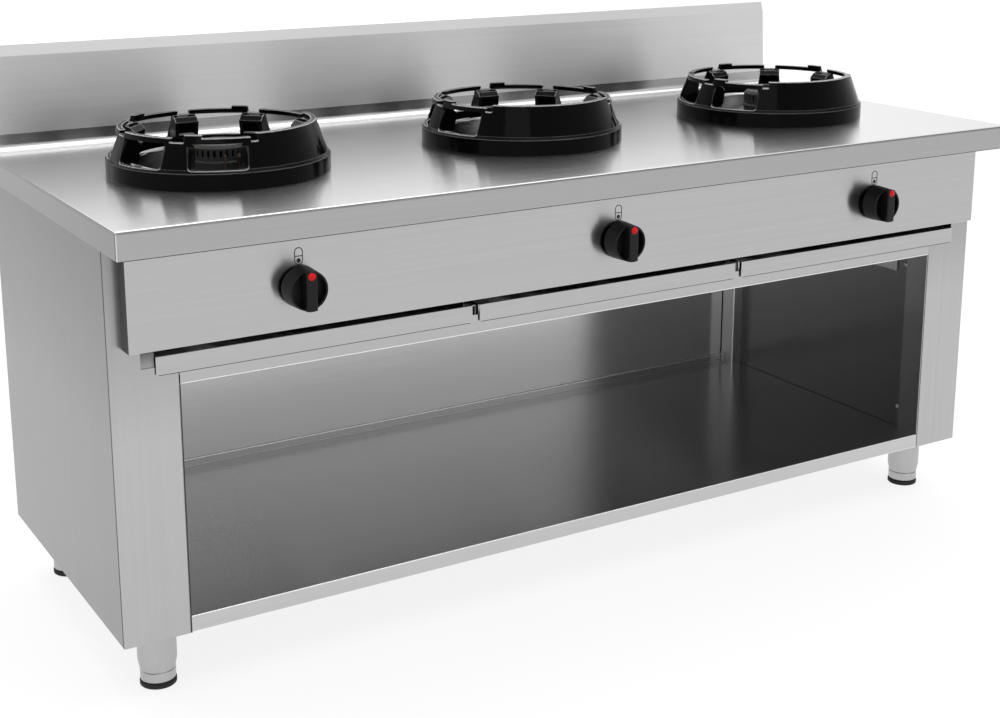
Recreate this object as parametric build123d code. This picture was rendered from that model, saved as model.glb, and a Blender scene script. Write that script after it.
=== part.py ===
from build123d import *
import os
from math import cos, radians, sin, sqrt

# Three-burner gas wok range on an open stainless cabinet. Millimetres.
# X runs to the right, Y to the back and Z up. The origin is on the floor, in the middle of the range.

# Overall sizes
WIDTH = 1800.0
DEPTH = 750.0
WORKTOP_Z = 780.0
TOTAL_HEIGHT = 970.0

# Sheets and their bends
TOP_SHEET = 2.0
BODY_SHEET = 1.5
TRAY_SHEET = 1.2
BOWL_SHEET = 1.2
HANGER_SHEET = 3.0
BEND = 0.7
SOFT_BEND = 2.5

# Gaps between pieces
RUN_GAP = 0.3
FIT_GAP = 0.05
HOLE_GAP = 0.5

# How far a cutting body runs past what it cuts
PAST = 1.0

# Worktop
APRON_HEIGHT = 43.0
APRON_RETURN = 12.0
SIDE_GAP = 1.0
COVE_RADIUS = 15.0
COVE_INSET = 6.0
COVE_NOTCH = 2.0
UPSTAND = 16.0

# Splashback
SPLASH_INSET = 5.0
SPLASH_LEAN = 9.0
SPLASH_BAND_RISE = 21.0
SPLASH_BAND_DEPTH = 7.0
SPLASH_TOP_FLAT = 5.0
SPLASH_END_RETURN = 12.0
SPLASH_BACK_RETURN = 30.0

# Cabinet
CABINET_BOTTOM_Z = 105.0
CABINET_FRONT_SETBACK = 79.8
CABINET_DEPTH = 617.2
STILE_WIDTH = 109.5
STILE_RETURN = 55.2
REAR_FLANGE = 22.0
STILE_CUT_WIDTH = 60.5
BACK_PANEL_SETBACK = 7.0
BACK_PANEL_SIDE_GAP = 2.5
SHELF_Z = 133.0
SHELF_UPSTAND = 15.0
SHELF_RETURN = 17.0
STIFFENER_WIDTH = 60.0
STIFFENER_DEPTH = 21.0
STIFFENER_BRIM = 20.0
STIFFENER_INSET = 47.0
LINER_SHEET = 1.0
LINER_OVERLAP = 15.0
LINER_SCREW_BACK = 5.0
LINER_SCREW_Z = (176.0, 482.0)
SCREW_R = 2.0
SCREW_HEAD_R = 4.0
SCREW_HEAD = 2.0
SCREW_HEAD_ROUND = 1.6
SCREW_LENGTH = 12.0
POST_WIDTH = 25.0
POST_DEPTH = 41.0
CLIP_WIDTH = 12.0
CLIP_HEIGHT = 24.0

# Front rail and tray runners
RAIL_TOP_Z = 548.0
RAIL_HEIGHT = 33.0
RAIL_DEPTH = 43.0
RAIL_FOOT = 23.0
RAIL_HEM = 8.0
SIDE_RAIL_HEIGHT = 85.0
SIDE_RAIL_PROUD = 3.0
SIDE_RAIL_SHELF = 59.0
SIDE_RAIL_FRONT = 81.0
RUNNER_BRIM = 20.0
RUNNER_CROWN_WIDTH = 8.0
RUNNER_CROWN_HEIGHT = 15.0
RUNNER_NOSE = 5.0

# Drip trays
TRAY_COUNT = 3
TRAY_SHIFT = 11.0
TRAY_MARGIN = 106.5
TRAY_GAP = 18.5
TRAY_DEPTH = 514.0
TRAY_WALL = 24.0
TRAY_CORNER = 12.0
TRAY_FRONT_SETBACK = 9.2
LIP_GAP = 14.5
LIP_TOP_Z = 565.0
LIP_HEIGHT = 29.0
LIP_PROUD = 3.8

# Control panel
PANEL_INSET = 26.5
PANEL_BOTTOM_Z = 582.0
PANEL_DEPTH = 28.3
PANEL_HOLE_R = 7.0

# Burners
BURNER_COUNT = 3
BURNER_BACK = 366.0
RING_TURNS = (270.7, 219.4, 229.0)
COLLAR_R = 145.5
COLLAR_HEIGHT = 22.5
COLLAR_FOOT = 5.0

# Wok ring: radii, heights above the worktop and angles from the start of its solid quarter
RING_R = 187.0
RING_BAND = 28.0
RING_SHOULDER_R = 182.5
RING_SHOULDER_Z = 33.0
RING_RIM_R = 163.0
RING_HEIGHT = 86.0
RING_LOW_RIM = 81.0
RING_WALL = 7.0
RING_RIM_WIDTH = 9.0
RING_SECTORS = 8
RING_SOLID_SECTORS = 2
WINDOW_HALF_ANGLE = 15.5
WINDOW_BOTTOM = 32.0
WINDOW_TOP = 72.5
WINDOW_CORNER = 5.0
NOTCH_HALF_ANGLE = 4.0
NOTCH_BOTTOM = 74.0
LUG_ANGLES = ((139.0, 149.0), (211.0, 221.0), (319.0, 329.0))
SEAT_WIDTH = 42.0
SEAT_INNER_R = 142.0
SEAT_BOTTOM = 30.0
SEAT_CORNERS = ((8.0, 0.0), (4.0, 6.0), (0.0, 32.0), (8.0, 40.0))
SEAT_POCKET_WIDTH = 28.0
SEAT_POCKET_R = 154.0
SEAT_POCKET_Z = (40.0, 58.0)

# Burner bowl: radii, and heights from the worktop
BOWL_RIM_R = 150.0
BOWL_RIM_TOP = 24.0
BOWL_RIM_DROP = 12.0
BOWL_R = 139.0
BOWL_FLOOR = -76.0
BOWL_HOLE_R = 70.0
BOWL_SPOUT = 10.0
BOWL_FALL = 20.0
BOWL_CORNER = 24.0
BOWL_SPOUT_BEND = 4.0

# Burner crown and body
CROWN_R = 50.0
CROWN_SEAT_Z = 18.0
CROWN_TOP_Z = 49.0
CROWN_WALL = 6.0
CROWN_LIP = 2.0
CROWN_LIP_HEIGHT = 3.0
CROWN_CHAMFER = 5.0
CROWN_LAND = 9.0
CROWN_DISH = 3.0
CROWN_DISH_SLOPE = 4.0
PORT_COUNT = 30
PORT_WIDTH = 4.4
PORT_BOTTOM = 30.0
PORT_TOP = 41.0
MIXER_Z = 640.0
MIXER_R = 20.0
MIXER_WALL = 4.0
MIXER_ELBOW = 45.0
MIXER_BEND = 44.9
MIXER_LENGTH = 160.0
THROAT_R = 15.0
NECK_R = 32.0
NECK_FOOT = -52.0
NECK_FLARE = 10.0
BELL_R = 25.0
BELL_LENGTH = 45.0
FOOT_WIDTH = 40.0
HANGER_HALF_SPAN = 162.0
HANGER_FLANGE = 28.0
HANGER_TOP_Z = 615.0

# Pilot burner and thermocouple, both beside the crown
PILOT_SIDE = 12.0
PILOT_REACH = 60.0
PILOT_TIP = 36.0
PILOT_R = 4.0
PILOT_PIPE_R = 2.5
PROBE_R = 2.5
LEAD_R = 1.5
SERVICE_Z = 668.0
SERVICE_BEND = 12.0
EAR_Z = -30.0
EAR_THICK = 4.0
EAR_MARGIN = 4.0
EAR_ROOT_Y = -30.0
TIP_COLLAR = 2.0
TIP_COLLAR_HEIGHT = 4.0
PILOT_TAPER = 2.0
PROBE_TAPER = 1.0

# Gas valve, its cone and spindle, the manifold and the inlet
KNOB_Z = 650.0
VALVE_DEPTH = 60.0
VALVE_R = 15.0
VALVE_BLOCK = 36.0
VALVE_BLOCK_FRONT = 20.0
VALVE_BELOW = 19.0
VALVE_ABOVE = 8.0
VALVE_FLANGE = (56.0, 34.0, 3.0)
VALVE_FLANGE_CORNER = 8.0
VALVE_INLET_R = 10.0
GAS_PORT_R = 4.0
OUTLET_BORE = 10.0
CONE_FRONT = 16.5
CONE_LENGTH = 28.5
CONE_R_FRONT = 11.0
CONE_R_BACK = 8.5
SPINDLE_R = 4.5
SPINDLE_FLAT = 3.2
SPINDLE_GRIP = 18.0
SPINDLE_SPARE = 1.5
KNOB_PUSH = 4.0
GAS_WAY_R = 3.0
MAGNET_R = 8.0
MAGNET_LENGTH = 18.0
OUTLET_Z = 640.0
OUTLET_R = 9.0
FEED_R = 5.0
FEED_NUT = 9.0
JET_HOLDER = 12.0
JET_LENGTH = 8.0
JET_R = (6.0, 3.0)
MANIFOLD_Z = 606.0
MANIFOLD_R = 13.5
MANIFOLD_WALL = 3.0
MANIFOLD_OVERRUN = 40.0
INLET_INSET = 80.0
INLET_BEND = 35.0
INLET_R = 10.48
INLET_UNION = 20.0
INLET_NUT = 5.5
INLET_GROOVE = 2.0
INLET_GROOVE_R = 9.5
INLET_THREAD = 20.0
INLET_CHAMFER = 1.0
INLET_BORE_R = 7.5
UNION_R = 18.0
BRACKET_Z = (585.0, 635.0)
BRACKET_FLANGE = 20.0
BRACKET_MARGIN = 8.0

# Knob
KNOB_R = 33.0
KNOB_RIM_R = 31.5
KNOB_GAP = 6.0
KNOB_RIM = 37.0
KNOB_RECESS = 14.0
KNOB_WALL = 3.0
KNOB_FRONT = 48.5
KNOB_HUB_R = 9.0
GRIP_WIDTH = 18.0
GRIP_ROUND = 2.5
GRIP_TAPER = 0.5
KNOB_HUB_SETBACK = 2.0
DOT_R = 6.2
DOT_OFFSET = 24.5
DOT_RISE = 2.5
DOT_SEAT = 1.5

# Legs
LEG_INSET = 76.0
LEG_FRONT = 148.0
LEG_REAR = 632.0
LEG_R = 31.5
LEG_WALL = 2.0
LEG_NOSE_R = 28.5
LEG_NOSE_Z = 28.0
LEG_CHAMFER_Z = 44.0
LEG_PLUG = 22.0
LEG_CAP = 3.0
STEM_R = 8.0
STEM_TOP_Z = 84.0
PAD_R = 29.5
PAD_HEIGHT = 9.0
LEG_EDGE = 2.0
STUD_R = 5.0
STUD_LENGTH = 13.0
NUT_FLATS = 17.0
NUT_HEIGHT = 8.0

# Places worked out from the sizes above
FRONT_Y = -DEPTH / 2
BACK_Y = DEPTH / 2
CABINET_X = WIDTH / 2 - TOP_SHEET - SIDE_GAP
CABINET_Y = FRONT_Y + CABINET_FRONT_SETBACK
CABINET_BACK_Y = CABINET_Y + CABINET_DEPTH
PLATE_BOTTOM_Z = WORKTOP_Z - TOP_SHEET
STILE_X = CABINET_X - STILE_WIDTH
PANEL_Y = CABINET_Y - PANEL_DEPTH
PANEL_BACK_Y = PANEL_Y + BODY_SHEET
BACK_PANEL_Y = CABINET_BACK_Y - BACK_PANEL_SETBACK
LINER_X = STILE_X + BODY_SHEET
FLOOR_Z = CABINET_BOTTOM_Z + BODY_SHEET
POST_Y = BACK_PANEL_Y - POST_DEPTH
COVE_Y = BACK_Y - SPLASH_TOP_FLAT - SPLASH_BAND_DEPTH - SPLASH_LEAN - COVE_RADIUS
UPSTAND_Y = COVE_Y + COVE_RADIUS
UPSTAND_TOP_Z = WORKTOP_Z + COVE_RADIUS + UPSTAND
BURNER_Y = FRONT_Y + BURNER_BACK
BURNER_PITCH = WIDTH / BURNER_COUNT
BURNER_X = (-BURNER_PITCH, 0.0, BURNER_PITCH)
BRACKET_X = (-BURNER_PITCH / 2, BURNER_PITCH / 2)
INLET_X = WIDTH / 2 - INLET_INSET
LEG_X = WIDTH / 2 - LEG_INSET
SIDES = ("left", "middle", "right")
MANIFOLD_Y = PANEL_BACK_Y + VALVE_DEPTH / 2
VALVE_BACK_Y = PANEL_BACK_Y + VALVE_DEPTH
TRAY_PITCH = (2 * CABINET_X - TRAY_MARGIN) / TRAY_COUNT
TRAY_WIDTH = TRAY_PITCH - TRAY_GAP
TRAY_X = [TRAY_SHIFT + (i - (TRAY_COUNT - 1) / 2) * TRAY_PITCH for i in range(TRAY_COUNT)]
RUNNER_X = [(a + b) / 2 for a, b in zip(TRAY_X, TRAY_X[1:])]
CORNERS = {
    "front_left": (-LEG_X, FRONT_Y + LEG_FRONT),
    "front_right": (LEG_X, FRONT_Y + LEG_FRONT),
    "rear_left": (-LEG_X, FRONT_Y + LEG_REAR),
    "rear_right": (LEG_X, FRONT_Y + LEG_REAR),
}


def block(x0, x1, y0, y1, z0, z1):
    """A box between two opposite corners."""
    middle = Pos((x0 + x1) / 2, (y0 + y1) / 2, (z0 + z1) / 2)
    return middle * Box(abs(x1 - x0), abs(y1 - y0), abs(z1 - z0))


def rod(radius, start, end):
    """A round bar between two points that lie along one axis."""
    start, end = Vector(*start), Vector(*end)
    return Plane(origin=start, z_dir=end - start) * Cylinder(
        radius, (end - start).length, align=(Align.CENTER, Align.CENTER, Align.MIN)
    )


def beside(points, distance):
    """The corners of an open outline once it is moved to its right by a distance."""
    corners = [Vector(*point) for point in points]
    ways = [(b - a).normalized() for a, b in zip(corners, corners[1:])]
    rights = [Vector(way.Y, -way.X) for way in ways]
    moved = []
    for corner, before, after in zip(corners, rights[:1] + rights, rights + rights[-1:]):
        shift = (before + after).normalized()
        moved.append(corner + shift * (distance / shift.dot(before)))
    return moved


def turns_right(points):
    """Whether each corner of an open outline turns to the right."""
    corners = [Vector(*point) for point in points]
    ways = [b - a for a, b in zip(corners, corners[1:])]
    return [a.cross(b).Z < 0 for a, b in zip(ways, ways[1:])]


def folded(points, sheet, bend=BEND):
    """The section of a sheet folded along an open outline, with its thickness to the right of it.

    A bend is the inside radius, either one for all corners or one for each.
    """
    turns = turns_right(points)
    bends = bend if isinstance(bend, list) else [bend] * len(turns)
    near = FilletPolyline(*points, radius=[b + sheet * right for b, right in zip(bends, turns)])
    far = FilletPolyline(
        *beside(points, sheet), radius=[b + sheet * (not right) for b, right in zip(bends, turns)]
    )
    return make_face([near, far, Line(near @ 0, far @ 0), Line(near @ 1, far @ 1)])


def along_x(section, x0, x1):
    """A section drawn in Y and Z, run from x0 to x1."""
    return extrude(Plane.YZ.offset(x0) * section, amount=x1 - x0, dir=(1, 0, 0))


def along_y(section, y0, y1):
    """A section drawn in X and Z, run from y0 to y1."""
    return extrude(Plane.XZ.offset(-y0) * section, amount=y1 - y0, dir=(0, 1, 0))


def along_z(section, z0, z1):
    """A section drawn in X and Y, run from z0 to z1."""
    return extrude(Plane.XY.offset(z0) * section, amount=z1 - z0, dir=(0, 0, 1))


def outline(points):
    """A flat face with straight sides."""
    return make_face(Polyline(*points, close=True))


def turned(section, arc=360.0):
    """A section drawn in radius and height, turned about Z."""
    return revolve(Plane.XZ * section, Axis.Z, revolution_arc=arc)


def both_sides(piece):
    """A piece on the left and its mirror image on the right."""
    return [piece, mirror(piece, about=Plane.YZ)]


def group(pieces):
    """Separate solids that share one node."""
    return Compound([solid for piece in pieces for solid in piece.solids()])


# Cabinet


def worktop():
    """One folded sheet: aprons in front and at the sides, a cove and upstand, and three drawn collars."""
    plate = block(-WIDTH / 2, WIDTH / 2, FRONT_Y, COVE_Y, WORKTOP_Z - APRON_HEIGHT, WORKTOP_Z)
    corners = plate.edges().filter_by(Axis.Z).sort_by(Axis.Y)[:2]
    plate = fillet(corners, SOFT_BEND)
    top_edges = plate.faces().sort_by(Axis.Z)[-1].edges()
    plate = fillet([e for e in top_edges if e.center().Y < COVE_Y - PAST], BEND)
    inside_x = WIDTH / 2 - TOP_SHEET
    plate -= block(-inside_x, inside_x, FRONT_Y + TOP_SHEET, BACK_Y, 0, PLATE_BOTTOM_Z)
    back_y = UPSTAND_Y + TOP_SHEET
    cove_x = WIDTH / 2 - COVE_INSET
    for sign in (-1, 1):
        strip_x = sign * (cove_x + COVE_NOTCH)
        plate += block(strip_x, sign * WIDTH / 2, COVE_Y, back_y, PLATE_BOTTOM_Z, WORKTOP_Z)
        apron_x = sign * (WIDTH / 2 - TOP_SHEET)
        plate += block(apron_x, sign * WIDTH / 2, COVE_Y, back_y, WORKTOP_Z - APRON_HEIGHT, WORKTOP_Z)
    apron_foot = WORKTOP_Z - APRON_HEIGHT
    plate += block(
        -inside_x, inside_x, FRONT_Y + TOP_SHEET, FRONT_Y + APRON_RETURN, apron_foot, apron_foot + TOP_SHEET
    )
    plate += along_x(cove_section(), -cove_x, cove_x)
    for x in BURNER_X:
        plate -= rod(COLLAR_R, (x, BURNER_Y, PLATE_BOTTOM_Z - PAST), (x, BURNER_Y, WORKTOP_Z + PAST))
        plate += Pos(x, BURNER_Y, WORKTOP_Z) * collar()
    return plate


def cove_section():
    """The cove at the back of the worktop and the upstand above it, in Y and Z."""
    centre = (COVE_Y, WORKTOP_Z + COVE_RADIUS)
    outer_r = COVE_RADIUS + TOP_SHEET
    half = sqrt(0.5)
    lines = [
        ThreePointArc(
            (COVE_Y, WORKTOP_Z),
            (centre[0] + COVE_RADIUS * half, centre[1] - COVE_RADIUS * half),
            (UPSTAND_Y, centre[1]),
        ),
        Polyline(
            (UPSTAND_Y, centre[1]),
            (UPSTAND_Y, UPSTAND_TOP_Z),
            (UPSTAND_Y + TOP_SHEET, UPSTAND_TOP_Z),
            (UPSTAND_Y + TOP_SHEET, centre[1]),
        ),
        ThreePointArc(
            (UPSTAND_Y + TOP_SHEET, centre[1]),
            (centre[0] + outer_r * half, centre[1] - outer_r * half),
            (COVE_Y, PLATE_BOTTOM_Z),
        ),
        Line((COVE_Y, PLATE_BOTTOM_Z), (COVE_Y, WORKTOP_Z)),
    ]
    return make_face(lines)


def collar():
    """The drawn collar round a burner opening, with its rounded foot. Height 0 is the worktop."""
    foot_r = COLLAR_R + COLLAR_FOOT
    bore = COLLAR_R - TOP_SHEET
    lines = [
        Polyline(
            (COLLAR_R, COLLAR_FOOT),
            (COLLAR_R, COLLAR_HEIGHT),
            (bore, COLLAR_HEIGHT),
            (bore, -TOP_SHEET),
            (foot_r, -TOP_SHEET),
            (foot_r, 0),
        ),
        RadiusArc((foot_r, 0), (COLLAR_R, COLLAR_FOOT), COLLAR_FOOT),
    ]
    return turned(make_face(lines))


def splashback():
    """The leaning splash sheet: sloped top band, back return and short end returns."""
    lean_y = UPSTAND_Y + SPLASH_LEAN
    points = [
        (UPSTAND_Y, UPSTAND_TOP_Z),
        (lean_y, TOTAL_HEIGHT - SPLASH_BAND_RISE),
        (lean_y + SPLASH_BAND_DEPTH, TOTAL_HEIGHT),
        (BACK_Y, TOTAL_HEIGHT),
        (BACK_Y, TOTAL_HEIGHT - SPLASH_BACK_RETURN),
    ]
    end_x = WIDTH / 2 - SPLASH_INSET
    sheet = along_x(folded(points, BODY_SHEET), -end_x, end_x)
    inside = [(corner.X, corner.Y) for corner in beside(points, BODY_SHEET)]
    cheek = outline(inside + [(UPSTAND_Y + SPLASH_END_RETURN, UPSTAND_TOP_Z)])
    for x0, x1 in ((-end_x, -end_x + BODY_SHEET), (end_x - BODY_SHEET, end_x)):
        sheet += along_x(cheek, x0, x1)
    return sheet - block(-end_x, end_x, UPSTAND_Y, BACK_Y, WORKTOP_Z, UPSTAND_TOP_Z)


def control_panel():
    """A shallow pan, open at the back, with a hole for each spindle."""
    half = WIDTH / 2 - PANEL_INSET
    pan = block(-half, half, PANEL_Y, CABINET_Y, PANEL_BOTTOM_Z, PLATE_BOTTOM_Z)
    front_face = pan.faces().sort_by(Axis.Y)[0]
    pan = fillet(front_face.edges(), BEND)
    inner = half - BODY_SHEET
    inside_z = (PANEL_BOTTOM_Z + BODY_SHEET, PLATE_BOTTOM_Z - BODY_SHEET)
    pan -= block(-inner, inner, PANEL_BACK_Y, CABINET_Y, *inside_z)
    for x in BURNER_X:
        pan -= rod(PANEL_HOLE_R, (x, PANEL_Y, KNOB_Z), (x, CABINET_Y, KNOB_Z))
    return pan


def left_side_panel():
    """The side sheet with its front stile, stile return, rear flange, foot flange and weld nuts."""
    points = [
        (-STILE_X, CABINET_Y + STILE_RETURN),
        (-STILE_X, CABINET_Y),
        (-CABINET_X, CABINET_Y),
        (-CABINET_X, CABINET_BACK_Y),
        (-CABINET_X + REAR_FLANGE, CABINET_BACK_Y),
    ]
    panel = along_z(folded(points, BODY_SHEET, SOFT_BEND), CABINET_BOTTOM_Z, PLATE_BOTTOM_Z)
    panel += block(
        -CABINET_X + BODY_SHEET,
        -STILE_X - BODY_SHEET,
        CABINET_Y + BODY_SHEET,
        CABINET_BACK_Y - BODY_SHEET,
        CABINET_BOTTOM_Z,
        FLOOR_Z,
    )
    cut_x = STILE_X + STILE_CUT_WIDTH
    panel -= block(-cut_x, 0, FRONT_Y, CABINET_Y + STILE_RETURN + PAST, RAIL_TOP_Z, WORKTOP_Z)
    weld_nut = extrude(RegularPolygon(NUT_FLATS / 2, 6, major_radius=False), amount=NUT_HEIGHT)
    for x, y in CORNERS.values():
        if x < 0:
            panel += Pos(x, y, FLOOR_Z) * weld_nut
            panel -= rod(STUD_R + FIT_GAP, (x, y, 0), (x, y, FLOOR_Z + NUT_HEIGHT + PAST))
    return panel


def back_panel():
    """The back sheet with folded ends, which bear on the side panels' rear flanges."""
    end_x = CABINET_X - BODY_SHEET - BACK_PANEL_SIDE_GAP
    flange_y = CABINET_BACK_Y - BODY_SHEET
    points = [(end_x, flange_y), (end_x, BACK_PANEL_Y), (-end_x, BACK_PANEL_Y), (-end_x, flange_y)]
    panel = along_z(folded(points, BODY_SHEET), FLOOR_Z, PLATE_BOTTOM_Z)
    hole = (INLET_X, BACK_PANEL_Y - PAST, MANIFOLD_Z), (INLET_X, CABINET_BACK_Y, MANIFOLD_Z)
    return panel - rod(INLET_R + HOLE_GAP, *hole)


def side_liners():
    """The two inner walls, from behind the stile returns to the back panel."""
    front_y = CABINET_Y + STILE_RETURN - LINER_OVERLAP
    liner = block(LINER_X, LINER_X + LINER_SHEET, front_y, BACK_PANEL_Y, FLOOR_Z, RAIL_TOP_Z - BODY_SHEET)
    for y, z in liner_screw_places():
        liner -= rod(SCREW_R + HOLE_GAP, (LINER_X - PAST, y, z), (LINER_X + LINER_SHEET + PAST, y, z))
    return group(both_sides(liner))


def liner_screw_places():
    """Where the screws go through a liner, as Y and Z."""
    y = CABINET_Y + STILE_RETURN + LINER_SCREW_BACK
    return [(y, z) for z in LINER_SCREW_Z]


def liner_screws():
    """Pan-head screws that hold the liners, two on each side."""
    screws = []
    for y, z in liner_screw_places():
        head = rod(SCREW_HEAD_R, (LINER_X - SCREW_HEAD, y, z), (LINER_X, y, z))
        head = fillet(head.edges().sort_by(Axis.X)[0], SCREW_HEAD_ROUND)
        screws += both_sides(head + rod(SCREW_R, (LINER_X, y, z), (LINER_X + SCREW_LENGTH, y, z)))
    return group(screws)


def bottom_shelf():
    """The shelf with its front lip, foot return, rear upstand and folded ends."""
    rear_y = BACK_PANEL_Y - BODY_SHEET
    points = [
        (CABINET_Y + SHELF_RETURN, CABINET_BOTTOM_Z),
        (CABINET_Y, CABINET_BOTTOM_Z),
        (CABINET_Y, SHELF_Z),
        (rear_y, SHELF_Z),
        (rear_y, SHELF_Z + SHELF_UPSTAND),
    ]
    shelf = along_x(folded(points, BODY_SHEET), -STILE_X, STILE_X)
    for sign in (-1, 1):
        shelf += block(
            sign * (STILE_X - BODY_SHEET),
            sign * STILE_X,
            CABINET_Y + BODY_SHEET,
            rear_y,
            CABINET_BOTTOM_Z,
            SHELF_Z - BODY_SHEET / 2,
        )
    return shelf


def shelf_stiffener():
    """The hat section under the shelf, from end to end."""
    half = STIFFENER_WIDTH / 2
    brim = half + STIFFENER_BRIM
    top = SHELF_Z - BODY_SHEET
    foot = top - STIFFENER_DEPTH
    points = [(-brim, top), (-half, top), (-half, foot), (half, foot), (half, top), (brim, top)]
    reach = STILE_X - STIFFENER_INSET
    return along_x(folded(points, BODY_SHEET), -reach, reach)


def rear_posts():
    """Folded corner posts between liner and back panel, each with a small clip at its foot."""
    inner_x = LINER_X - POST_WIDTH
    side_end = BACK_PANEL_Y - BODY_SHEET - BEND - RUN_GAP
    points = [(LINER_X, POST_Y), (inner_x, POST_Y), (inner_x, side_end)]
    post = along_z(folded(points, BODY_SHEET), SHELF_Z, PLATE_BOTTOM_Z)
    clip_points = [
        (inner_x, SHELF_Z + CLIP_HEIGHT),
        (inner_x, SHELF_Z),
        (inner_x - CLIP_WIDTH, SHELF_Z),
    ]
    clip = along_y(folded(clip_points, BODY_SHEET), side_end - CLIP_WIDTH, side_end)
    return group(both_sides(post) + both_sides(clip))


# Rails and trays


def front_rail():
    """The rail under the tray lips, between the stiles."""
    foot_z = RAIL_TOP_Z - RAIL_HEIGHT
    points = [
        (CABINET_Y + RAIL_FOOT, foot_z + RAIL_HEM),
        (CABINET_Y + RAIL_FOOT, foot_z),
        (CABINET_Y, foot_z),
        (CABINET_Y, RAIL_TOP_Z),
        (CABINET_Y + RAIL_DEPTH, RAIL_TOP_Z),
    ]
    return along_x(folded(points, BODY_SHEET), -STILE_X, STILE_X)


def tray_side_rails():
    """Channels on the liners that carry the outer edges of the outer trays."""
    face_x = LINER_X - SIDE_RAIL_PROUD
    foot_z = RAIL_TOP_Z - SIDE_RAIL_HEIGHT
    points = [
        (LINER_X, foot_z),
        (face_x, foot_z),
        (face_x, RAIL_TOP_Z),
        (face_x + SIDE_RAIL_SHELF, RAIL_TOP_Z),
    ]
    section = folded(points, BODY_SHEET)
    return group(both_sides(along_y(section, CABINET_Y + SIDE_RAIL_FRONT, POST_Y)))


def tray_runners():
    """Hat-section runners: the brims carry two trays and the crown keeps them apart."""
    half = RUNNER_CROWN_WIDTH / 2
    brim = half + RUNNER_BRIM
    top = RAIL_TOP_Z + RUNNER_CROWN_HEIGHT
    points = [
        (-brim, RAIL_TOP_Z),
        (-half, RAIL_TOP_Z),
        (-half, top),
        (half, top),
        (half, RAIL_TOP_Z),
        (brim, RAIL_TOP_Z),
    ]
    front_y = CABINET_Y + RUNNER_NOSE
    rail_back_y = CABINET_Y + RAIL_DEPTH
    runner = along_y(folded(points, BODY_SHEET), front_y, BACK_PANEL_Y)
    runner -= block(-brim, brim, front_y, rail_back_y, 0, RAIL_TOP_Z)
    return group([Pos(x, 0, 0) * runner for x in RUNNER_X])


def drip_tray(x):
    """A shallow pan whose front wall folds over and down as the lip."""
    half = TRAY_WIDTH / 2
    front_y = CABINET_Y + TRAY_FRONT_SETBACK
    floor_z = RAIL_TOP_Z + RUN_GAP
    top_z = floor_z + TRAY_WALL
    pan = block(-half, half, front_y, front_y + TRAY_DEPTH, floor_z, top_z)
    pan = fillet(pan.edges().filter_by(Axis.Z), TRAY_CORNER)
    hollow = block(
        -half + TRAY_SHEET,
        half - TRAY_SHEET,
        front_y + TRAY_SHEET,
        front_y + TRAY_DEPTH - TRAY_SHEET,
        floor_z + TRAY_SHEET,
        top_z + PAST,
    )
    pan -= fillet(hollow.edges().filter_by(Axis.Z), TRAY_CORNER - TRAY_SHEET)
    pan -= block(-half, half, front_y - PAST, front_y + TRAY_CORNER, LIP_TOP_Z, top_z + PAST)
    lip_y = CABINET_Y - LIP_PROUD
    points = [
        (lip_y, LIP_TOP_Z - LIP_HEIGHT),
        (lip_y, LIP_TOP_Z),
        (front_y + TRAY_SHEET, LIP_TOP_Z),
    ]
    lip_half = (TRAY_PITCH - LIP_GAP) / 2
    lip = along_x(folded(points, TRAY_SHEET), -lip_half, lip_half)
    return Pos(x, 0, 0) * (pan + lip)


# Burners. Heights in these functions are counted from the worktop.


def ring_radius(z):
    """Outer radius of the wok ring's cone at a height."""
    share = (z - RING_SHOULDER_Z) / (RING_HEIGHT - RING_SHOULDER_Z)
    return RING_SHOULDER_R + share * (RING_RIM_R - RING_SHOULDER_R)


def ring_wall_section():
    """Section of the ring's wall: upright band, shoulder, cone and thicker rim."""
    rim_foot = RING_LOW_RIM - RING_RIM_WIDTH / 2
    return outline(
        [
            (RING_R, 0),
            (RING_R, RING_BAND),
            (RING_SHOULDER_R, RING_SHOULDER_Z),
            (RING_RIM_R, RING_HEIGHT),
            (RING_RIM_R - RING_RIM_WIDTH, RING_HEIGHT),
            (ring_radius(rim_foot) - RING_RIM_WIDTH, rim_foot),
            (ring_radius(rim_foot) - RING_WALL, rim_foot - RING_RIM_WIDTH + RING_WALL),
            (RING_SHOULDER_R - RING_WALL, RING_SHOULDER_Z),
            (RING_R - RING_WALL, RING_BAND),
            (RING_R - RING_WALL, 0),
        ]
    )


def ring_seat():
    """The block inside a pillar: sloped top and a pocket in its inner face."""
    wall = RING_WALL / 2
    inner = [(SEAT_INNER_R + out, SEAT_BOTTOM + up) for out, up in SEAT_CORNERS]
    foot = (ring_radius(SEAT_BOTTOM) - wall, SEAT_BOTTOM)
    top = (ring_radius(NOTCH_BOTTOM) - wall, NOTCH_BOTTOM)
    seat = along_y(outline([foot, *inner, top]), -SEAT_WIDTH / 2, SEAT_WIDTH / 2)
    half = SEAT_POCKET_WIDTH / 2
    return seat - block(0, SEAT_POCKET_R, -half, half, *SEAT_POCKET_Z)


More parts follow.
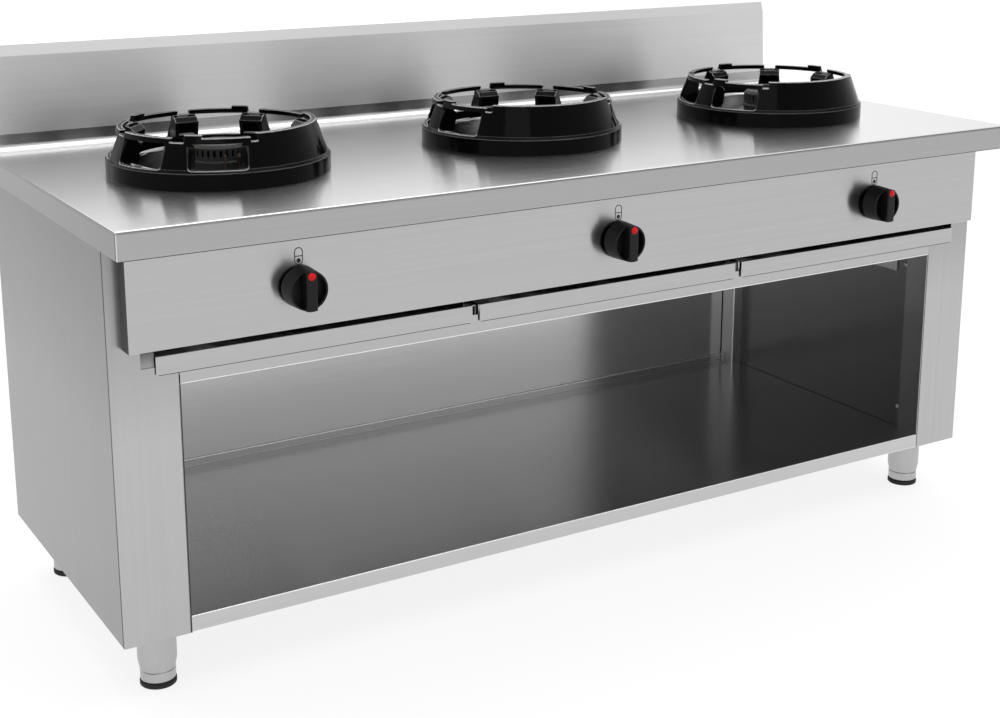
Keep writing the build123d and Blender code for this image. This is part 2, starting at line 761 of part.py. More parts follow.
def wok_ring():
    """The cast ring. Its solid quarter starts at angle 0, and windows fill the other sectors."""
    step = 360.0 / RING_SECTORS
    solid_end = RING_SOLID_SECTORS * step
    ring = turned(ring_wall_section())
    low_starts = [solid_end] + [end for _, end in LUG_ANGLES]
    low_ends = [start for start, _ in LUG_ANGLES] + [360.0]
    past_top = RING_HEIGHT + PAST
    low_rim = outline(
        [(SEAT_INNER_R, RING_LOW_RIM), (RING_R, RING_LOW_RIM), (RING_R, past_top), (SEAT_INNER_R, past_top)]
    )
    for start, end in zip(low_starts, low_ends):
        ring -= Rot(0, 0, start) * turned(low_rim, end - start)
    mean_r = (ring_radius(WINDOW_BOTTOM) + ring_radius(WINDOW_TOP)) / 2
    window = RectangleRounded(
        2 * mean_r * sin(radians(WINDOW_HALF_ANGLE)), WINDOW_TOP - WINDOW_BOTTOM, WINDOW_CORNER
    )
    window = Pos(0, 0, (WINDOW_TOP + WINDOW_BOTTOM) / 2) * extrude(Plane.YZ * window, amount=RING_R + PAST)
    for sector in range(RING_SOLID_SECTORS, RING_SECTORS):
        ring -= Rot(0, 0, (sector + 0.5) * step) * window
    notch_half = RING_RIM_R * sin(radians(NOTCH_HALF_ANGLE))
    inner_r = SEAT_INNER_R - PAST
    for sector in range(RING_SECTORS):
        angle = sector * step
        if angle == 0:
            cut = (-notch_half, 0)
        elif angle == solid_end:
            cut = (0, notch_half)
        elif angle < solid_end:
            cut = None
        else:
            cut = (-notch_half, notch_half)
        if cut:
            ring -= Rot(0, 0, angle) * block(inner_r, RING_R, *cut, NOTCH_BOTTOM, past_top)
    seat = ring_seat()
    for sector in range(RING_SECTORS):
        ring += Rot(0, 0, sector * step) * seat
    return ring


def burner_bowl():
    """The spun bowl: its rolled rim hooks over the collar, and its floor falls to a spout round the neck."""
    roll = (BOWL_RIM_R - BOWL_R) / 2 - BOWL_SHEET - FIT_GAP
    points = [
        (BOWL_HOLE_R, BOWL_FLOOR - BOWL_SPOUT),
        (BOWL_HOLE_R, BOWL_FLOOR),
        (BOWL_R, BOWL_FLOOR + BOWL_FALL),
        (BOWL_R, BOWL_RIM_TOP),
        (BOWL_RIM_R, BOWL_RIM_TOP),
        (BOWL_RIM_R, BOWL_RIM_DROP),
    ]
    return turned(folded(points, BOWL_SHEET, [BOWL_SPOUT_BEND, BOWL_CORNER, roll, roll]))


def burner_crown():
    """The hollow cast crown with a row of slots near its top."""
    bore = CROWN_R - CROWN_WALL
    seat_r = CROWN_R + CROWN_LIP
    top_r = CROWN_R - CROWN_CHAMFER
    dish_r = top_r - CROWN_LAND
    section = outline(
        [
            (seat_r, CROWN_SEAT_Z),
            (seat_r, CROWN_SEAT_Z + CROWN_LIP_HEIGHT),
            (CROWN_R, CROWN_SEAT_Z + CROWN_LIP_HEIGHT + CROWN_LIP),
            (CROWN_R, CROWN_TOP_Z - CROWN_CHAMFER),
            (top_r, CROWN_TOP_Z),
            (dish_r, CROWN_TOP_Z),
            (dish_r - CROWN_DISH_SLOPE, CROWN_TOP_Z - CROWN_DISH),
            (0, CROWN_TOP_Z - CROWN_DISH),
            (0, PORT_TOP),
            (bore, PORT_TOP),
            (bore, CROWN_SEAT_Z),
        ]
    )
    crown = turned(section)
    slot = block(bore - PAST, seat_r, -PORT_WIDTH / 2, PORT_WIDTH / 2, PORT_BOTTOM, PORT_TOP)
    slots = [Rot(0, 0, i * 360.0 / PORT_COUNT) * slot for i in range(PORT_COUNT)]
    return crown - slots


def burner_body():
    """The cast body: neck under the crown, elbow, mixing tube and bell mouth, foot and pilot ear."""
    tube_z = MIXER_Z - WORKTOP_Z
    elbow_z = tube_z + MIXER_ELBOW
    bore = MIXER_R - MIXER_WALL
    flare_z = CROWN_SEAT_Z - NECK_FLARE
    neck = outline(
        [
            (bore, elbow_z),
            (MIXER_R, elbow_z),
            (MIXER_R, NECK_FOOT),
            (NECK_R, EAR_Z),
            (CROWN_R, flare_z),
            (CROWN_R, CROWN_SEAT_Z),
            (CROWN_R - CROWN_WALL, CROWN_SEAT_Z),
            (CROWN_R - CROWN_WALL, flare_z + MIXER_WALL / 2),
            (NECK_R - MIXER_WALL, EAR_Z),
            (bore, NECK_FOOT - MIXER_WALL / 2),
        ]
    )
    body = turned(neck)
    path = FilletPolyline((0, 0, elbow_z), (0, 0, tube_z), (0, -MIXER_LENGTH, tube_z), radius=MIXER_BEND)
    ring = Plane.XY.offset(elbow_z) * (Circle(MIXER_R) - Circle(bore))
    body += sweep(ring, path=path)
    bell = outline(
        [
            (bore, 0),
            (MIXER_R, 0),
            (THROAT_R + MIXER_WALL, BELL_LENGTH / 2),
            (BELL_R, BELL_LENGTH),
            (BELL_R - MIXER_WALL, BELL_LENGTH),
            (THROAT_R, BELL_LENGTH / 2),
        ]
    )
    body += Pos(0, -MIXER_LENGTH, tube_z) * Rot(90, 0, 0) * turned(bell)
    foot_top = tube_z - bore - MIXER_WALL / 2
    half = FOOT_WIDTH / 2
    body += block(
        -half, half, -MIXER_ELBOW - half, -MIXER_ELBOW + half, HANGER_TOP_Z - WORKTOP_Z, foot_top
    ) - rod(MIXER_R - MIXER_WALL / 2, (0, -MIXER_LENGTH, tube_z), (0, 0, tube_z))
    return body + pilot_ear()


def pilot_places():
    """Pilot burner and thermocouple, as X and Y from the burner's axis."""
    back = sqrt(PILOT_REACH ** 2 - PILOT_SIDE ** 2)
    return (PILOT_SIDE, -back), (-PILOT_SIDE, -back)


def pilot_ear():
    """The plate on the neck that the pilot burner and the thermocouple go through."""
    (x, y), _ = pilot_places()
    margin = PILOT_R + EAR_MARGIN
    ear = block(-x - margin, x + margin, y - margin, EAR_ROOT_Y, EAR_Z, EAR_Z + EAR_THICK)
    for (hole_x, hole_y), radius in zip(pilot_places(), (PILOT_R, PROBE_R)):
        top = EAR_Z + EAR_THICK + PAST
        ear -= rod(radius + FIT_GAP, (hole_x, hole_y, EAR_Z - PAST), (hole_x, hole_y, top))
    return ear


def service_line(x, y, radius, end_y):
    """A thin pipe from under the bowl down and forward to the valve."""
    low = SERVICE_Z - WORKTOP_Z
    top = EAR_Z
    path = FilletPolyline((x, y, top), (x, y, low), (x, end_y, low), radius=SERVICE_BEND)
    return sweep(Plane.XY.offset(top) * Pos(x, y) * Circle(radius), path=path)


def tip(x, y, radius, taper):
    """A barrel through the ear, with a collar that seats on it and a tapered end."""
    seat = EAR_Z + EAR_THICK
    collar_r = radius + TIP_COLLAR
    section = outline(
        [
            (0, EAR_Z),
            (radius, EAR_Z),
            (radius, seat),
            (collar_r, seat),
            (collar_r, seat + TIP_COLLAR_HEIGHT),
            (radius, seat + TIP_COLLAR_HEIGHT),
            (radius, PILOT_TIP - 2 * taper),
            (radius - taper, PILOT_TIP),
            (0, PILOT_TIP),
        ]
    )
    return Pos(x, y, 0) * turned(section)


def pilot_burner():
    """The pilot and the gas pipe that feeds it."""
    (x, y), _ = pilot_places()
    pipe = service_line(x, y, PILOT_PIPE_R, VALVE_BACK_Y - BURNER_Y)
    return tip(x, y, PILOT_R, PILOT_TAPER) + pipe


def thermocouple():
    """The probe beside the pilot, and its lead to the valve's magnet."""
    _, (x, y) = pilot_places()
    lead = service_line(x, y, LEAD_R, VALVE_BACK_Y + MAGNET_LENGTH - BURNER_Y)
    return tip(x, y, PROBE_R, PROBE_TAPER) + lead


def burner_hanger():
    """The strap under a burner, welded to the worktop on both sides of the bowl."""
    low = HANGER_TOP_Z - WORKTOP_Z
    top = -TOP_SHEET
    outer = HANGER_HALF_SPAN + HANGER_FLANGE
    points = [
        (-outer, top),
        (-HANGER_HALF_SPAN, top),
        (-HANGER_HALF_SPAN, low),
        (HANGER_HALF_SPAN, low),
        (HANGER_HALF_SPAN, top),
        (outer, top),
    ]
    half = FOOT_WIDTH / 2
    return along_y(folded(points, HANGER_SHEET, SOFT_BEND), -MIXER_ELBOW - half, -MIXER_ELBOW + half)


# Gas line and taps


def gas_valve():
    """The valve body: spindle bore, tapered bore, inlet boss on the manifold, outlet and pilot bosses."""
    y0, y1 = PANEL_BACK_Y, VALVE_BACK_Y
    width, height, thick = VALVE_FLANGE
    half = VALVE_BLOCK / 2
    body = rod(VALVE_R, (0, y0, KNOB_Z), (0, y1, KNOB_Z))
    flange = RectangleRounded(width, height, VALVE_FLANGE_CORNER)
    body += along_y(Pos(0, KNOB_Z) * flange, y0, y0 + thick)
    low, high = KNOB_Z - VALVE_BELOW, SERVICE_Z + VALVE_ABOVE
    body += block(-half, half, y0 + VALVE_BLOCK_FRONT, y1, low, high)
    inlet_top = KNOB_Z - VALVE_R
    body += rod(VALVE_INLET_R, (0, MANIFOLD_Y, MANIFOLD_Z), (0, MANIFOLD_Y, inlet_top))
    body += rod(MAGNET_R, (-PILOT_SIDE, y1, SERVICE_Z), (-PILOT_SIDE, y1 + MAGNET_LENGTH, SERVICE_Z))
    body -= rod(MANIFOLD_R + FIT_GAP, (-half, MANIFOLD_Y, MANIFOLD_Z), (half, MANIFOLD_Y, MANIFOLD_Z))
    body -= rod(GAS_PORT_R, (0, MANIFOLD_Y, MANIFOLD_Z), (0, MANIFOLD_Y, KNOB_Z))
    body -= rod(GAS_PORT_R, (0, y1 - OUTLET_BORE, OUTLET_Z), (0, y1 + PAST, OUTLET_Z))
    body -= rod(SPINDLE_R + FIT_GAP, (0, y0 - PAST, KNOB_Z), (0, y0 + CONE_FRONT, KNOB_Z))
    cavity = cone_section(CONE_R_FRONT + FIT_GAP, CONE_R_BACK + FIT_GAP, CONE_LENGTH + 2 * FIT_GAP)
    return body - Pos(0, y0 + CONE_FRONT - FIT_GAP, KNOB_Z) * Rot(90, 0, 0) * turned(cavity)


def cone_section(front_r, back_r, length):
    """Half section of a taper, from its wide front at height 0 down to its back."""
    return outline([(0, 0), (front_r, 0), (back_r, -length), (0, -length)])


def d_section(radius, flat):
    """A round section with one flat."""
    return Circle(radius) - Pos(0, flat + radius) * Rectangle(2 * radius, 2 * radius)


def tap_cone(x):
    """The tapered plug with its D-shaped socket and its gas way."""
    cone = turned(cone_section(CONE_R_FRONT, CONE_R_BACK, CONE_LENGTH))
    socket = d_section(SPINDLE_R + FIT_GAP, SPINDLE_FLAT + FIT_GAP)
    cone -= extrude(socket, amount=-(SPINDLE_GRIP + KNOB_PUSH + SPINDLE_SPARE))
    cone -= rod(GAS_WAY_R, (0, 0, -CONE_LENGTH / 2), (CONE_R_FRONT, 0, -CONE_LENGTH / 2))
    return Pos(x, PANEL_BACK_Y + CONE_FRONT, KNOB_Z) * Rot(90, 0, 0) * cone


def valve_spindle(x):
    """The push-and-turn spindle, with flats for the plug's socket and for the knob."""
    flat = d_section(SPINDLE_R, SPINDLE_FLAT)
    tip = CONE_FRONT + SPINDLE_GRIP
    neck_start = SPINDLE_GRIP + KNOB_PUSH + HOLE_GAP
    neck_end = tip + BODY_SHEET + KNOB_GAP
    end = tip + BODY_SHEET + KNOB_RIM
    shaft = extrude(flat, amount=neck_start)
    shaft += Pos(0, 0, neck_start) * extrude(Circle(SPINDLE_R), amount=neck_end - neck_start)
    shaft += Pos(0, 0, neck_end) * extrude(flat, amount=end - neck_end)
    return Pos(x, PANEL_BACK_Y + tip, KNOB_Z) * Rot(90, 0, 0) * shaft


def knob(x):
    """The moulded knob: hollow skirt, hub, thin rim and a grip bar right across."""
    floor = KNOB_RIM - KNOB_RECESS
    rim_in = KNOB_RIM_R - KNOB_WALL
    section = outline(
        [
            (KNOB_R, KNOB_GAP),
            (KNOB_RIM_R, KNOB_RIM),
            (rim_in, KNOB_RIM),
            (rim_in, floor),
            (0, floor),
            (0, KNOB_GAP + KNOB_HUB_SETBACK),
            (KNOB_HUB_R, KNOB_GAP + KNOB_HUB_SETBACK),
            (KNOB_HUB_R, floor - KNOB_WALL),
            (KNOB_R - KNOB_WALL, floor - KNOB_WALL),
            (KNOB_R - KNOB_WALL, KNOB_GAP),
        ]
    )
    body = turned(section)
    bar = Pos(0, 0, floor) * extrude(Rectangle(GRIP_WIDTH, 2 * KNOB_R), amount=KNOB_FRONT - floor)
    taper = [
        (0, 0),
        (KNOB_R, KNOB_GAP),
        (KNOB_RIM_R, KNOB_RIM),
        (KNOB_RIM_R - GRIP_TAPER, KNOB_FRONT),
        (0, KNOB_FRONT),
    ]
    bar &= turned(outline(taper))
    bar = fillet(bar.faces().sort_by(Axis.Z)[-1].edges(), GRIP_ROUND)
    body += bar
    bore = d_section(SPINDLE_R + FIT_GAP, SPINDLE_FLAT + FIT_GAP)
    body -= extrude(bore, amount=KNOB_RIM + FIT_GAP)
    body -= rod(DOT_R + FIT_GAP, (0, DOT_OFFSET, KNOB_FRONT - DOT_SEAT), (0, DOT_OFFSET, KNOB_FRONT + PAST))
    return Pos(x, PANEL_Y, KNOB_Z) * Rot(90, 0, 0) * body


def knob_dot(x):
    """The red domed pointer, pressed into the end of the grip bar."""
    base = KNOB_FRONT - DOT_SEAT
    crown_r = (DOT_R ** 2 + DOT_RISE ** 2) / (2 * DOT_RISE)
    half_way = DOT_R / 2
    dome_mid = KNOB_FRONT + DOT_RISE - crown_r + sqrt(crown_r ** 2 - half_way ** 2)
    lines = [
        Polyline((0, KNOB_FRONT + DOT_RISE), (0, base), (DOT_R, base), (DOT_R, KNOB_FRONT)),
        ThreePointArc((DOT_R, KNOB_FRONT), (half_way, dome_mid), (0, KNOB_FRONT + DOT_RISE)),
    ]
    dot = turned(make_face(lines))
    return Pos(x, PANEL_Y, KNOB_Z) * Rot(90, 0, 0) * Pos(0, DOT_OFFSET, 0) * dot


def hexagon(radius, x, y, z, length):
    """A hexagonal nut along Y, from y to the back."""
    return extrude(Plane(origin=(x, y, z), z_dir=(0, 1, 0)) * RegularPolygon(radius, 6), amount=length)


def injector_pipe():
    """The short pipe from the valve's outlet to the jet in front of the bell mouth."""
    jet_y = BURNER_Y - MIXER_LENGTH - BELL_LENGTH - JET_LENGTH
    holder_y = jet_y - JET_HOLDER
    pipe = rod(FEED_R, (0, VALVE_BACK_Y, OUTLET_Z), (0, holder_y, OUTLET_Z))
    nut = hexagon(OUTLET_R, 0, VALVE_BACK_Y, OUTLET_Z, FEED_NUT)
    holder = hexagon(OUTLET_R, 0, holder_y, OUTLET_Z, JET_HOLDER)
    jet = Pos(0, jet_y, OUTLET_Z) * Rot(90, 0, 0) * turned(cone_section(*JET_R, JET_LENGTH))
    return pipe + nut + holder + jet


def gas_manifold():
    """The pipe behind the panel, with a way up to each valve and an elbow to the back."""
    start = (-BURNER_PITCH - MANIFOLD_OVERRUN, MANIFOLD_Y, MANIFOLD_Z)
    corner = (INLET_X, MANIFOLD_Y, MANIFOLD_Z)
    end = (INLET_X, BACK_PANEL_Y - INLET_UNION, MANIFOLD_Z)
    path = FilletPolyline(start, corner, end, radius=INLET_BEND)
    section = Circle(MANIFOLD_R) - Circle(MANIFOLD_R - MANIFOLD_WALL)
    pipe = sweep(Plane(origin=start, z_dir=(1, 0, 0)) * section, path=path)
    pipe += rod(MANIFOLD_R, start, (start[0] + MANIFOLD_WALL, MANIFOLD_Y, MANIFOLD_Z))
    for x in BURNER_X:
        pipe -= rod(GAS_PORT_R, (x, MANIFOLD_Y, MANIFOLD_Z), (x, MANIFOLD_Y, MANIFOLD_Z + 2 * MANIFOLD_R))
    return pipe


def manifold_brackets():
    """Folded brackets that hold the manifold to the back of the control panel."""
    back_y = MANIFOLD_Y + MANIFOLD_R + BRACKET_MARGIN
    points = [(BRACKET_FLANGE, PANEL_BACK_Y), (0, PANEL_BACK_Y), (0, back_y)]
    bracket = along_z(folded(points, BODY_SHEET), *BRACKET_Z)
    reach = BODY_SHEET + PAST
    bracket -= rod(MANIFOLD_R + FIT_GAP, (-reach, MANIFOLD_Y, MANIFOLD_Z), (reach, MANIFOLD_Y, MANIFOLD_Z))
    return group([Pos(x, 0, 0) * bracket for x in BRACKET_X])


def gas_inlet():
    """The union on the manifold's end, the lock nut outside the back panel and the free male thread."""
    start_y = BACK_PANEL_Y - INLET_UNION
    nut_y = BACK_PANEL_Y + BODY_SHEET
    groove_y = nut_y + INLET_NUT
    thread_y = groove_y + INLET_GROOVE
    end_y = thread_y + INLET_THREAD + INLET_CHAMFER
    spigot = outline(
        [
            (0, BACK_PANEL_Y),
            (INLET_R, BACK_PANEL_Y),
            (INLET_R, groove_y),
            (INLET_GROOVE_R, groove_y),
            (INLET_GROOVE_R, thread_y),
            (INLET_R, thread_y),
            (INLET_R, end_y - INLET_CHAMFER),
            (INLET_R - INLET_CHAMFER, end_y),
            (0, end_y),
        ]
    )
    body = Pos(INLET_X, 0, MANIFOLD_Z) * Rot(-90, 0, 0) * turned(spigot)
    body += hexagon(UNION_R, INLET_X, start_y, MANIFOLD_Z, INLET_UNION)
    body += hexagon(UNION_R, INLET_X, nut_y, MANIFOLD_Z, INLET_NUT)
    return body - rod(INLET_BORE_R, (INLET_X, start_y, MANIFOLD_Z), (INLET_X, end_y + PAST, MANIFOLD_Z))


# Legs


def leg_tube(x, y):
    """The leg: tube with a closed top and stud, tapered nose and threaded plug."""
    bore = LEG_R - LEG_WALL
    plug_top = LEG_NOSE_Z + LEG_PLUG
    cap_z = CABINET_BOTTOM_Z - LEG_CAP
    section = outline(
        [
            (STEM_R, LEG_NOSE_Z),
            (LEG_NOSE_R, LEG_NOSE_Z),
            (LEG_R, LEG_CHAMFER_Z),
            (LEG_R, CABINET_BOTTOM_Z),
            (STUD_R, CABINET_BOTTOM_Z),
            (STUD_R, CABINET_BOTTOM_Z + STUD_LENGTH),
            (0, CABINET_BOTTOM_Z + STUD_LENGTH),
            (0, cap_z),
            (bore, cap_z),
            (bore, plug_top),
            (STEM_R, plug_top),
        ]
    )
    return Pos(x, y, 0) * turned(section)


def leg_insert(x, y):
    """The levelling insert: threaded stem and foot disc."""
    top = LEG_NOSE_Z - RUN_GAP
    stem_r = STEM_R - FIT_GAP
    section = outline(
        [
            (0, PAD_HEIGHT),
            (LEG_NOSE_R - LEG_EDGE, PAD_HEIGHT),
            (LEG_NOSE_R, PAD_HEIGHT + LEG_EDGE),
            (LEG_NOSE_R, top - LEG_EDGE),
            (LEG_NOSE_R - LEG_EDGE, top),
            (stem_r, top),
            (stem_r, STEM_TOP_Z - LEG_EDGE),
            (stem_r - LEG_EDGE, STEM_TOP_Z),
            (0, STEM_TOP_Z),
        ]
    )
    return Pos(x, y, 0) * turned(section)


def leg_pad(x, y):
    """The rubber pad under the insert."""
    section = outline(
        [
            (0, 0),
            (PAD_R - LEG_EDGE / 2, 0),
            (PAD_R, LEG_EDGE / 2),
            (PAD_R, PAD_HEIGHT - LEG_EDGE),
            (LEG_NOSE_R - LEG_EDGE, PAD_HEIGHT),
            (0, PAD_HEIGHT),
        ]
    )
    return Pos(x, y, 0) * turned(section)


def pieces():
    """Every node's name with its solids."""
    side = left_side_panel()
    yield "worktop", worktop()
    yield "splashback", splashback()
    yield "control_panel", control_panel()
    yield "left_side_panel", side
    yield "right_side_panel", mirror(side, about=Plane.YZ)
    yield "side_liners", side_liners()
    yield "liner_screws", liner_screws()
    yield "back_panel", back_panel()
    yield "bottom_shelf", bottom_shelf()
    yield "shelf_stiffener", shelf_stiffener()
    yield "rear_posts", rear_posts()
    yield "front_rail", front_rail()
    yield "tray_side_rails", tray_side_rails()
    yield "tray_runners", tray_runners()
    yield "gas_manifold", gas_manifold()
    yield "manifold_brackets", manifold_brackets()
    yield "gas_inlet", gas_inlet()
    ring = wok_ring()
    bowl = burner_bowl()
    crown = burner_crown()
    body = burner_body()
    valve = gas_valve()
    seats = [Pos(x, BURNER_Y, WORKTOP_Z) for x in BURNER_X]
    yield "burner_hangers", group([seat * burner_hanger() for seat in seats])
    yield "pilot_burners", group([seat * pilot_burner() for seat in seats])
    yield "thermocouples", group([seat * thermocouple() for seat in seats])
    yield "injector_pipes", group([Pos(x, 0, 0) * injector_pipe() for x in BURNER_X])
    for name, x, seat, turn, tray_x in zip(SIDES, BURNER_X, seats, RING_TURNS, TRAY_X):
        yield f"{name}_wok_ring", seat * Rot(0, 0, turn) * ring
        yield f"{name}_burner_bowl", seat * bowl
        yield f"{name}_burner_crown", seat * crown
        yield f"{name}_burner_body", seat * body
        yield f"{name}_gas_valve", Pos(x, 0, 0) * valve
        yield f"{name}_tap_cone", tap_cone(x)
        yield f"{name}_valve_spindle", valve_spindle(x)
        yield f"{name}_knob", knob(x)
        yield f"{name}_knob_dot", knob_dot(x)
        yield f"{name}_drip_tray", drip_tray(tray_x)
    yield "leg_tubes", group([leg_tube(x, y) for x, y in CORNERS.values()])
    for name, (x, y) in CORNERS.items():
        yield f"{name}_leg_insert", leg_insert(x, y)
        yield f"{name}_leg_pad", leg_pad(x, y)


def main():
    os.makedirs("parts", exist_ok=True)
    for name, shape in pieces():
        export_step(shape, f"parts/{name}.step")
        print(name, len(shape.solids()), round(shape.volume / 1000, 1), "cm3")


main()
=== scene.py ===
import math

import bmesh
import bpy
from bpy.props import FloatProperty, FloatVectorProperty, PointerProperty
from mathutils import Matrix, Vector


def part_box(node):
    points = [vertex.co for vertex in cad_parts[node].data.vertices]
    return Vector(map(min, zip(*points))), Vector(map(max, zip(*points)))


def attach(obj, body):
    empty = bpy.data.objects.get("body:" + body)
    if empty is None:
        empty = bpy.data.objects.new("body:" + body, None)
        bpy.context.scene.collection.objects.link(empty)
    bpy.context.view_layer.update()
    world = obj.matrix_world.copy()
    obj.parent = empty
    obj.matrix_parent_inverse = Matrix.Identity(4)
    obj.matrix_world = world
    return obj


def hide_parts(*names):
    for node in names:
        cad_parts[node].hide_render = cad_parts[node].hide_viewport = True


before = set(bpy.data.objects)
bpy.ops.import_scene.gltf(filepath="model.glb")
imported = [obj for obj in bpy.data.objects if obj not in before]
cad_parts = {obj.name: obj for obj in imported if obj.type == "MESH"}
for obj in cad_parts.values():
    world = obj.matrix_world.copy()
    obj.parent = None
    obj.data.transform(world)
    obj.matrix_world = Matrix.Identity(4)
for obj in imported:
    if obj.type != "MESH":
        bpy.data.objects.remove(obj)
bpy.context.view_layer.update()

bl_info = {
    "name": "Wok range",
    "version": (1, 0, 0),
    "blender": (4, 5, 0),
    "location": "View3D > Sidebar > Wok range",
    "description": "Finishes, printed marks, small fasteners and studio for a three-burner wok range",
    "category": "Object",
}

# Metres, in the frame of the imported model: X to the right, Y to the back and Z up, from the floor.
SIDES = ("left", "middle", "right")
APRON_FOOT_Z = 0.737
WORKTOP_Z = 0.780
LINER_SHEET = 0.001
WELD = 0.000001

# A brushed face spreads a reflection across its lines: a quarter turn from them.
ACROSS = 0.25
AXES = {"x": (1.0, 0.0, 0.0), "y": (0.0, 1.0, 0.0), "z": (0.0, 0.0, 1.0)}
WAYS = {
    "left": (-1.0, 0.0, 0.0),
    "right": (1.0, 0.0, 0.0),
    "front": (0.0, -1.0, 0.0),
    "back": (0.0, 1.0, 0.0),
}
# A face begins to count as looking one way at the start, and counts in full at the end.
FACING = {"start": 0.85, "end": 0.95}

# Waves per metre: of the brush lines along themselves, and of the broad streaks along and across them.
BRUSH_ALONG = 6.0
STREAK_ALONG = 1.6
STREAK_ACROSS = 140.0

# Sockets of a Mix node that mixes colours.
MIX_AMOUNT, MIX_FIRST, MIX_SECOND = 0, 6, 7
MIX_RESULT = 2

# The camera, and the lamp with the point that it faces.
CAMERA_PLACE = (-1.5637, -2.5037, 1.2811)
CAMERA_AIM = (0.50549, 0.83176, -0.22949)
LAMP_PLACE = (-2.6, -3.4, 3.6)
LAMP_TARGET = (0.0, 0.0, 0.5)
LAMP_SIZE = 2.4

# The sky's strength at two heights. Its soft lights: where they are, how they fade in, how strong.
HORIZON = ((0.16, 0.62), (1.1, 0.28))
SOFT_LIGHTS = (
    ((0.12, 0.5, 0.86), (0.5, 0.92), 1.35),
    ((0.2, -0.25, 0.95), (0.84, 0.96), 1.5),
)
FLOOR_RADIUS = 30.0
FLOOR_GREY = (0.24, 0.24, 0.24)
FLOOR_GLOW = 0.8


def colour(name, text, default):
    """A colour that a user may change."""
    return FloatVectorProperty(
        name=name, description=text, subtype="COLOR", size=3, min=0.0, max=1.0, default=default
    )


def share(name, text, default):
    """A share from 0 to 1 that a user may change."""
    return FloatProperty(
        name=name, description=text, subtype="FACTOR", min=0.0, max=1.0, default=default
    )


def length(name, text, default):
    """A length in metres that a user may change."""
    return FloatProperty(name=name, description=text, unit="LENGTH", min=0.0, default=default)


class SteelFinish(bpy.types.PropertyGroup):
    """Brushed sheet steel."""

    colour: colour("Steel", "Colour of the bare sheet", (0.46, 0.46, 0.46))
    roughness: share("Roughness", "How far the brushing spreads a reflection", 0.30)
    anisotropy: share("Anisotropy", "How far the grain stretches a reflection", 0.8)
    grain: length("Grain", "Width of one brush line", 0.0007)
    fold: length("Fold", "Radius of the worktop's folded edges", 0.006)


class CastingFinish(bpy.types.PropertyGroup):
    """Enamelled rings and bare castings."""

    enamel: colour("Enamel", "Colour of the wok rings", (0.0025, 0.0025, 0.0028))
    iron: colour("Iron", "Colour of the bare burner castings", (0.028, 0.027, 0.026))


class ControlFinish(bpy.types.PropertyGroup):
    """Knobs and the printed marks above them."""

    plastic: colour("Knob", "Colour of the knobs", (0.008, 0.008, 0.008))
    pointer: colour("Pointer", "Colour of the knob's pointer", (1.0, 0.008, 0.012))
    ink: colour("Ink", "Colour of the printed marks", (0.012, 0.012, 0.012))
    mark_width: length("Mark width", "Width of the mark over a knob", 0.0145)
    mark_height: length("Mark height", "Height of the mark over a knob", 0.028)
    mark_line: length("Mark line", "Line width of the mark", 0.0015)
    mark_foot: length("Mark foot", "Height of the mark's foot over the knob's axis", 0.033)


class StudioSetup(bpy.types.PropertyGroup):
    """Camera, floor and light."""

    lens: FloatProperty(
        name="Lens", description="Focal length of the camera", unit="CAMERA", default=57.2
    )
    lift: FloatProperty(
        name="Lift", description="Upward shift of the lens, as a share of the frame", default=-0.12
    )
    sky: FloatProperty(name="Sky", description="Strength of the even light", default=0.9)
    key: FloatProperty(name="Key", description="Power of the lamp in watts", default=18.0)


